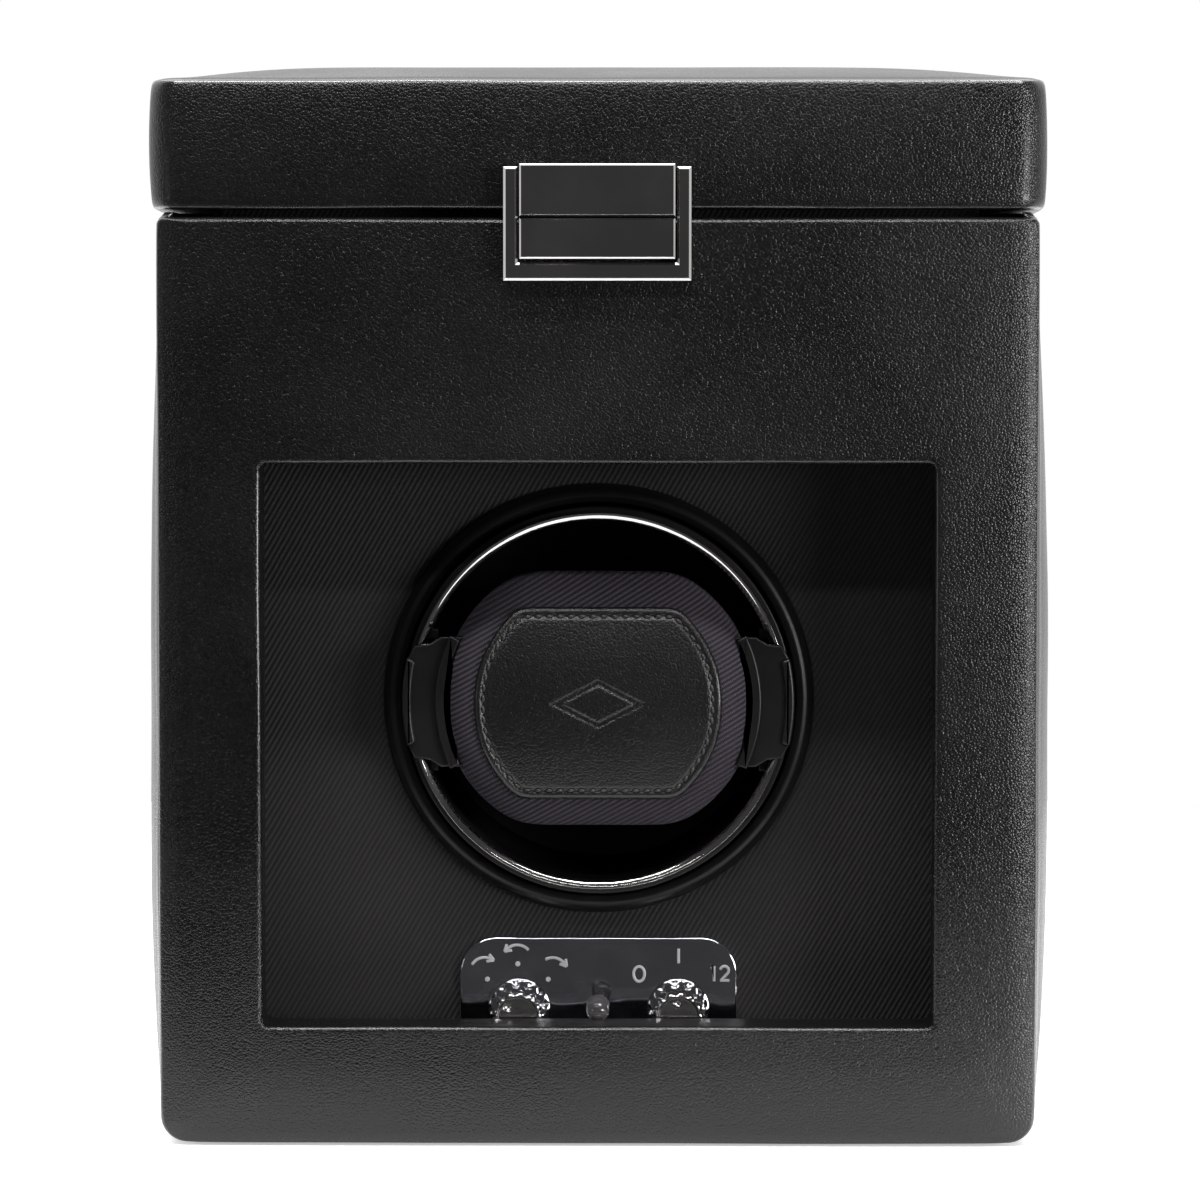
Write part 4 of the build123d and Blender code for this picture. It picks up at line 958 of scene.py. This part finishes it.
marks.append(ribbon([(knob_x + 9.2, 31.8), (knob_x + 11.3, 31.8)], 0.62, face_y))
make("control_marks", *merged(*marks), "case", "dark_chrome", material=MARK, sharp=35.0)


def knob(word, x, z, pointer):
    """Fluted knob: skirt, scalloped wall, raised lip and a dished face with a pointer dimple."""
    base_y, tip_y = -70.8, -82.5
    flutes, around = 13, 13 * 14
    profile = (
        (2.9, base_y, 0.0), (6.8, base_y, 0.0), (6.8, base_y - 0.5, 0.0), (6.5, base_y - 1.0, 0.3), (6.35, base_y - 1.4, 1.0),
        (6.15, -75.5, 1.0), (5.95, -79.0, 1.0), (5.75, -81.0, 1.0), (5.45, -81.9, 0.9), (5.1, -82.35, 0.5), (4.75, -82.5, 0.2),
        (4.45, -82.4, 0.05), (4.25, -82.05, 0.0), (4.1, -82.0, 0.0),
    )
    rings = []
    for r, y, depth in profile:
        ring = []
        for k in range(around):
            t = 2 * math.pi * k / around
            wave = 0.5 + 0.5 * math.cos(flutes * t + math.pi)
            cut = depth * 0.6 * wave ** 1.3
            ring.append((x + (r - cut) * math.cos(t), y, z + (r - cut) * math.sin(t)))
        rings.append(ring)
    px, pz = 2.9 * math.cos(math.radians(pointer)), 2.9 * math.sin(math.radians(pointer))
    for r in [4.1 - 0.1365 * n for n in range(1, 31)]:
        ring = []
        for k in range(around):
            t = 2 * math.pi * k / around
            gx, gz = max(r, 0.01) * math.cos(t), max(r, 0.01) * math.sin(t)
            away = math.hypot(gx - px, gz - pz) / 0.92
            deep = 0.75 * math.sqrt(max(0.0, 1 - away * away)) if away < 1 else 0.0
            ring.append((x + gx, -82.0 + deep, z + gz))
        rings.append(ring)
    stem = [(2.9, base_y - 0.2), (2.9, -60.0)]
    parts = [loft(rings, caps=(False, True)), loft(revolve(stem, x, z, 32), caps=(True, True))]
    make(f"{word}_knob_fluted", *merged(*parts), f"{word}_knob", "chrome", (f"knob_{word}",), sharp=50.0)


for word, (x, z, pointer) in KNOBS.items():
    knob(word, x, z, pointer)

led_lo, led_hi = span("status_led")
led_r, led_z = led_hi.x, (led_lo.z + led_hi.z) / 2 - 0.5
dome = [(led_r * math.sin(t), led_lo.y + led_r * (1 - math.cos(t))) for t in [math.pi / 2 * k / 12 for k in range(13)]]
lens_back = led_lo.y + 8.6
led_profile = [(0.02, led_lo.y)] + dome[1:]
led_profile += [(led_r, lens_back - 1.0), (led_r + 0.02, lens_back), (0.02, lens_back)]
lens_skin = loft(revolve(led_profile, 0.0, led_z, 48), caps=(True, True))
make("lamp_lens", *lens_skin, "case", "clear_plastic", ("status_led",), sharp=50.0)
sleeve_r = led_r * 0.25
sleeve = rounded_profile([(0.02, lens_back + 0.02), (sleeve_r, lens_back + 0.02), (sleeve_r, led_hi.y), (0.02, led_hi.y)], 0.2, 3)
make("lamp_sleeve", *loft(revolve(sleeve, 0.0, led_z, 48), closed=True), "case", "black_plastic", sharp=50.0)


# ------------------------------------------------------------------ storage
liner_lo, liner_hi = span("storage_liner")
WALL, CROSS_Y = 2.5, (14.0, 17.0)


def tray_ring(inset, z, r=1.2):
    mid_y = (liner_lo.y + liner_hi.y) / 2
    half_y = (liner_hi.y - liner_lo.y) / 2
    plan = rectangle(liner_hi.x - inset, -half_y + inset, half_y - inset, r, r, 5, 10)
    return [(x, y + mid_y, z) for x, y in plan]


top_z, floor_z = liner_hi.z, liner_lo.z + 2.0
tray = [tray_ring(0.0, liner_lo.z), tray_ring(0.0, top_z - 1.1)]
for k in range(1, 8):
    t = math.pi * k / 8
    tray.append(tray_ring(WALL / 2 * (1 - math.cos(t)), top_z - 1.1 + 1.1 * math.sin(t)))
tray += [tray_ring(WALL, top_z - 1.1), tray_ring(WALL, floor_z + 1.0), tray_ring(WALL + 0.3, floor_z + 0.3)]
tray += [tray_ring(WALL + 1.0, floor_z), tray_ring(60.0, floor_z)]
make("storage_tray", *loft(tray, caps=(True, True)), "case", "lining_twill", ("storage_liner",), sharp=60.0)

divider_lo, divider_hi = span("storage_dividers")


def wall_x(x0, x1, y0, y1):
    """Padded wall with a rounded top, running along its longer side."""
    rings = []
    z1 = divider_hi.z
    for e, z in ((0.0, floor_z), (0.0, z1 - 1.2), (0.2, z1 - 0.6), (0.6, z1 - 0.15), (1.0, z1)):
        plan = rectangle((x1 - x0) / 2 - min(e, (x1 - x0) / 2 - 0.1), y0 + e * 0.2, y1 - e * 0.2, 0.05, 0.05, 3, 4, (x0 + x1) / 2)
        rings.append([(x, y, z) for x, y in plan])
    return loft(rings, caps=(True, True))


def cross_wall():
    rings = []
    z1 = divider_hi.z
    for e, z in ((0.0, floor_z), (0.0, z1 - 1.2), (0.25, z1 - 0.6), (0.75, z1 - 0.15), (1.25, z1)):
        plan = rectangle(divider_hi.x, CROSS_Y[0] + e, CROSS_Y[1] - e, 0.05, 0.05, 3, 12)
        rings.append([(x, y, z) for x, y in plan])
    return loft(rings, caps=(True, True))


dividers = [cross_wall()]
for sign in (-1, 1):
    dividers.append(wall_x(sign * 26.5 - 1.25, sign * 26.5 + 1.25, divider_lo.y, CROSS_Y[0] + 0.5))
make("tray_dividers", *merged(*dividers), "case", "lining_twill", ("storage_dividers",), sharp=50.0)


def storage_pillow(word):
    """Rolled cushion for a watch: tight ends, full middle."""
    lo, hi = span(f"storage_pillow_{word}")
    centre = (lo + hi) / 2
    size = (hi - lo) / 2
    rings = []
    for n in range(21):
        u = -1 + 2 * n / 20
        swell = (1 - abs(u) ** 7) ** 0.5 if abs(u) < 1 else 0.0
        grow = 0.80 + 0.17 * swell
        ring = []
        for k in range(48):
            t = 2 * math.pi * k / 48
            c, s = math.cos(t), math.sin(t)
            radial = 1.0 / (abs(c) ** 3.2 + abs(s) ** 3.2) ** (1 / 3.2)
            squash = grow if abs(u) < 0.97 else grow * 0.94
            ring.append((
                centre.x + u * size.x * 0.985, centre.y + size.y * squash * radial * c, centre.z - 0.3 + size.z * squash * radial * s
            ))
        rings.append(ring)
    pad = make(
        f"pillow_{word}", *loft(rings, caps=(True, True)), "case", "cushion_twill", (f"storage_pillow_{word}",), sharp=180.0, levels=1
    )


for word in ("left", "centre", "right"):
    storage_pillow(word)


# ------------------------------------------------------------------ base pad and rear hardware
base_lo, base_hi = span("base_pad")
half_x, half_y = base_hi.x, base_hi.y
pad_rings = []
for e, z in ((0.6, 1.05), (0.1, 0.95), (0.0, 0.55), (0.2, 0.15), (0.8, 0.0)):
    pad_rings.append([(x, y, z) for x, y in rectangle(half_x - e, -half_y + e, half_y - e, 7.5, 7.5, 7, 10)])
make("base_felt_pad", *loft(pad_rings, caps=(True, True)), "case", "base_felt", ("base_pad",), sharp=50.0)


def screw_head(x, z, seat_y, radius=2.8, height=1.25):
    """Pan head facing the rear, with a cross recess."""
    rings = []
    for r, rise in ((radius * 0.98, 0.0), (radius, 0.25), (radius * 0.98, 0.55), (radius * 0.93, 0.8)):
        rings.append([(x + r * math.cos(t), seat_y + rise * height, z + r * math.sin(t)) for t in [2 * math.pi * k / 48 for k in range(48)]])
    for n in range(1, 13):
        r = radius * 0.93 * (1 - n / 12.5)
        ring = []
        for k in range(48):
            t = 2 * math.pi * k / 48
            gx, gz = r * math.cos(t), r * math.sin(t)
            ux, uz = (gx + gz) * 0.7071, (gx - gz) * 0.7071
            arm = min(abs(ux), abs(uz))
            reach = max(abs(ux), abs(uz))
            deep = 0.8 * (1 - smoothstep((arm - 0.24) / 0.12)) * (1 - smoothstep((reach - 1.35) / 0.25))
            dome = 0.8 + 0.2 * math.sqrt(max(0.0, 1 - (r / radius) ** 2)) * 1.0
            ring.append((x + gx, seat_y + dome * height - deep, z + gz))
        rings.append(ring)
    return loft(rings, caps=(True, True))


cover_y = cover_hi.y
leaf_y = span("hinge_body_leaves")[0].y + 1.2
leaf_screws = [sign * 60.0 + dx for sign in (-1, 1) for dx in (-9.0, 9.0)]
heads = [screw_head(sx * 58.5, 80.0 + sz * 48.5, cover_y) for sx in (-1, 1) for sz in (-1, 1)]
heads += [screw_head(x, 190.0, leaf_y) for x in leaf_screws]
make("rear_screws", *merged(*heads), "case", "screw_steel", ("case_screws",), sharp=40.0)
make("lid_hinge_screws", *merged(*[screw_head(x, 208.5, leaf_y) for x in leaf_screws]), "lid", "screw_steel", ("lid_screws",), sharp=40.0)

for node in ("rear_cover", "dc_jack", "hinge_body_leaves", "hinge_lid_leaves", "module_board", "bay_lining"):
    shown = frame["nodes"][node]
    shown.data.shade_smooth()
    shown.data.set_sharp_from_angle(angle=math.radians(35.0))
for node, width in (("rear_cover", 0.35), ("hinge_body_leaves", 0.2), ("hinge_lid_leaves", 0.2)):
    shown = frame["nodes"][node]
    rounding = shown.modifiers.new("edge", "BEVEL")
    rounding.width = width * MM
    rounding.segments = 2
    rounding.limit_method = "ANGLE"
    rounding.angle_limit = math.radians(50.0)


# ------------------------------------------------------------------ floor, light and camera
def floor():
    rings = [
        [(r * math.cos(t), 230.0 + r * math.sin(t), -0.2) for t in [2 * math.pi * k / 64 for k in range(64)]]
        for r in (5.0, 150.0, 300.0, 430.0)
    ]
    verts, faces = loft(rings, caps=(True, False))
    mesh = bpy.data.meshes.new("studio_floor")
    mesh.from_pydata([Vector(v) * MM for v in verts], [], faces)
    mesh.shade_smooth()
    ground = bpy.data.objects.new("studio_floor", mesh)
    bpy.context.scene.collection.objects.link(ground)
    g = Graph("studio_floor", Roughness=0.4, Specular_IOR_Level=0.1)
    grain = g.noise(40.0)
    g.colours(grain, (0.3, (0.86, 0.86, 0.86)), (0.7, (0.9, 0.9, 0.9)))
    g.shader.inputs["Emission Color"].default_value = (1.0, 1.0, 1.0, 1.0)
    rays = g.add("ShaderNodeLightPath").outputs
    seen = g.math("MULTIPLY", rays["Is Camera Ray"], 0.45)
    g.put(g.shader.inputs["Emission Strength"], g.math("ADD", seen, g.math("MULTIPLY", rays["Is Glossy Ray"], 0.4)))
    mesh.materials.append(g.bump((grain, 0.02, 0.0005)))


def backdrop():
    """White sweep all round as the camera sees it; dimmer in front, so that gloss stays dark as in a studio."""
    world = bpy.data.worlds.new("studio")
    bpy.context.scene.world = world
    world.use_nodes = True
    tree = world.node_tree
    tree.nodes.clear()
    place = tree.nodes.new("ShaderNodeTexCoord")
    split = tree.nodes.new("ShaderNodeSeparateXYZ")
    tree.links.new(place.outputs["Generated"], split.inputs[0])
    ramp = tree.nodes.new("ShaderNodeValToRGB")
    half = tree.nodes.new("ShaderNodeMapRange")
    half.inputs["From Min"].default_value = -1.0
    tree.links.new(split.outputs["Y"], half.inputs["Value"])
    tree.links.new(half.outputs["Result"], ramp.inputs["Fac"])
    stops = ((0.0, 0.044), (0.3, 0.042), (0.44, 0.12), (0.52, 0.8), (0.62, 1.0))
    while len(ramp.color_ramp.elements) < len(stops):
        ramp.color_ramp.elements.new(0.5)
    for element, (position, grey) in zip(ramp.color_ramp.elements, stops):
        element.position = position
        element.color = (grey, grey, grey, 1.0)
    seen = tree.nodes.new("ShaderNodeLightPath")
    blend = tree.nodes.new("ShaderNodeMix")
    blend.data_type = "RGBA"
    tree.links.new(seen.outputs["Is Camera Ray"], blend.inputs["Factor"])
    low = tree.nodes.new("ShaderNodeMapRange")
    low.inputs["From Min"].default_value = -0.16
    low.inputs["From Max"].default_value = -0.6
    low.inputs["To Max"].default_value = 0.05
    tree.links.new(split.outputs["Z"], low.inputs["Value"])
    lifted = tree.nodes.new("ShaderNodeMix")
    lifted.data_type = "RGBA"
    lifted.blend_type = "ADD"
    lifted.clamp_result = True
    lifted.inputs["Factor"].default_value = 1.0
    tree.links.new(ramp.outputs["Color"], lifted.inputs[6])
    tree.links.new(low.outputs["Result"], lifted.inputs[7])
    tree.links.new(lifted.outputs[2], blend.inputs[6])
    blend.inputs[7].default_value = (1.0, 1.0, 1.0, 1.0)
    glow = tree.nodes.new("ShaderNodeBackground")
    out = tree.nodes.new("ShaderNodeOutputWorld")
    tree.links.new(blend.outputs[2], glow.inputs["Color"])
    tree.links.new(glow.outputs[0], out.inputs["Surface"])


def softbox(name, place, aim, size, power):
    data = bpy.data.lights.new(name, "AREA")
    data.shape = "RECTANGLE"
    data.size, data.size_y = size
    data.energy = power
    lamp = bpy.data.objects.new(name, data)
    lamp.location = place
    lamp.rotation_mode = "QUATERNION"
    lamp.rotation_quaternion = (Vector(aim) - Vector(place)).to_track_quat("-Z", "Y")
    bpy.context.scene.collection.objects.link(lamp)


floor()
backdrop()
softbox("overhead", (0.0, 0.15, 1.45), (0.0, 0.0, 0.1), (2.0, 1.8), 24.0)
softbox("overhead_strip", (0.0, -0.60, 1.20), (0.0, -0.1, 0.12), (1.2, 0.08), 12.0)
softbox("front_strip", (0.0, -1.00, 1.00), (0.0, -0.1, 0.12), (1.4, 0.05), 4.5)
softbox("right_strip", (0.84, -0.80, 0.15), (0.05, -0.1, 0.14), (0.40, 0.30), 7.0)
softbox("left_strip", (-0.98, -0.72, 0.12), (-0.05, -0.1, 0.12), (0.3, 0.22), 0.5)

camera_data = bpy.data.cameras.new("camera")
camera = bpy.data.objects.new("camera", camera_data)
bpy.context.scene.collection.objects.link(camera)
camera_data.sensor_width = 36.0
camera_data.lens = 141.23
camera.location = (0.01014, -1.100, 0.17682)
CAMERA_PITCH, CAMERA_YAW, CAMERA_ROLL = -3.40, 0.55, -0.02
camera.rotation_euler = (
    math.radians(90.0 + CAMERA_PITCH), math.radians(CAMERA_ROLL), math.radians(CAMERA_YAW)
)
camera_data.clip_start = 0.01
camera_data.clip_end = 50.0
bpy.context.scene.camera = camera
bpy.context.scene.view_settings.view_transform = "Standard"
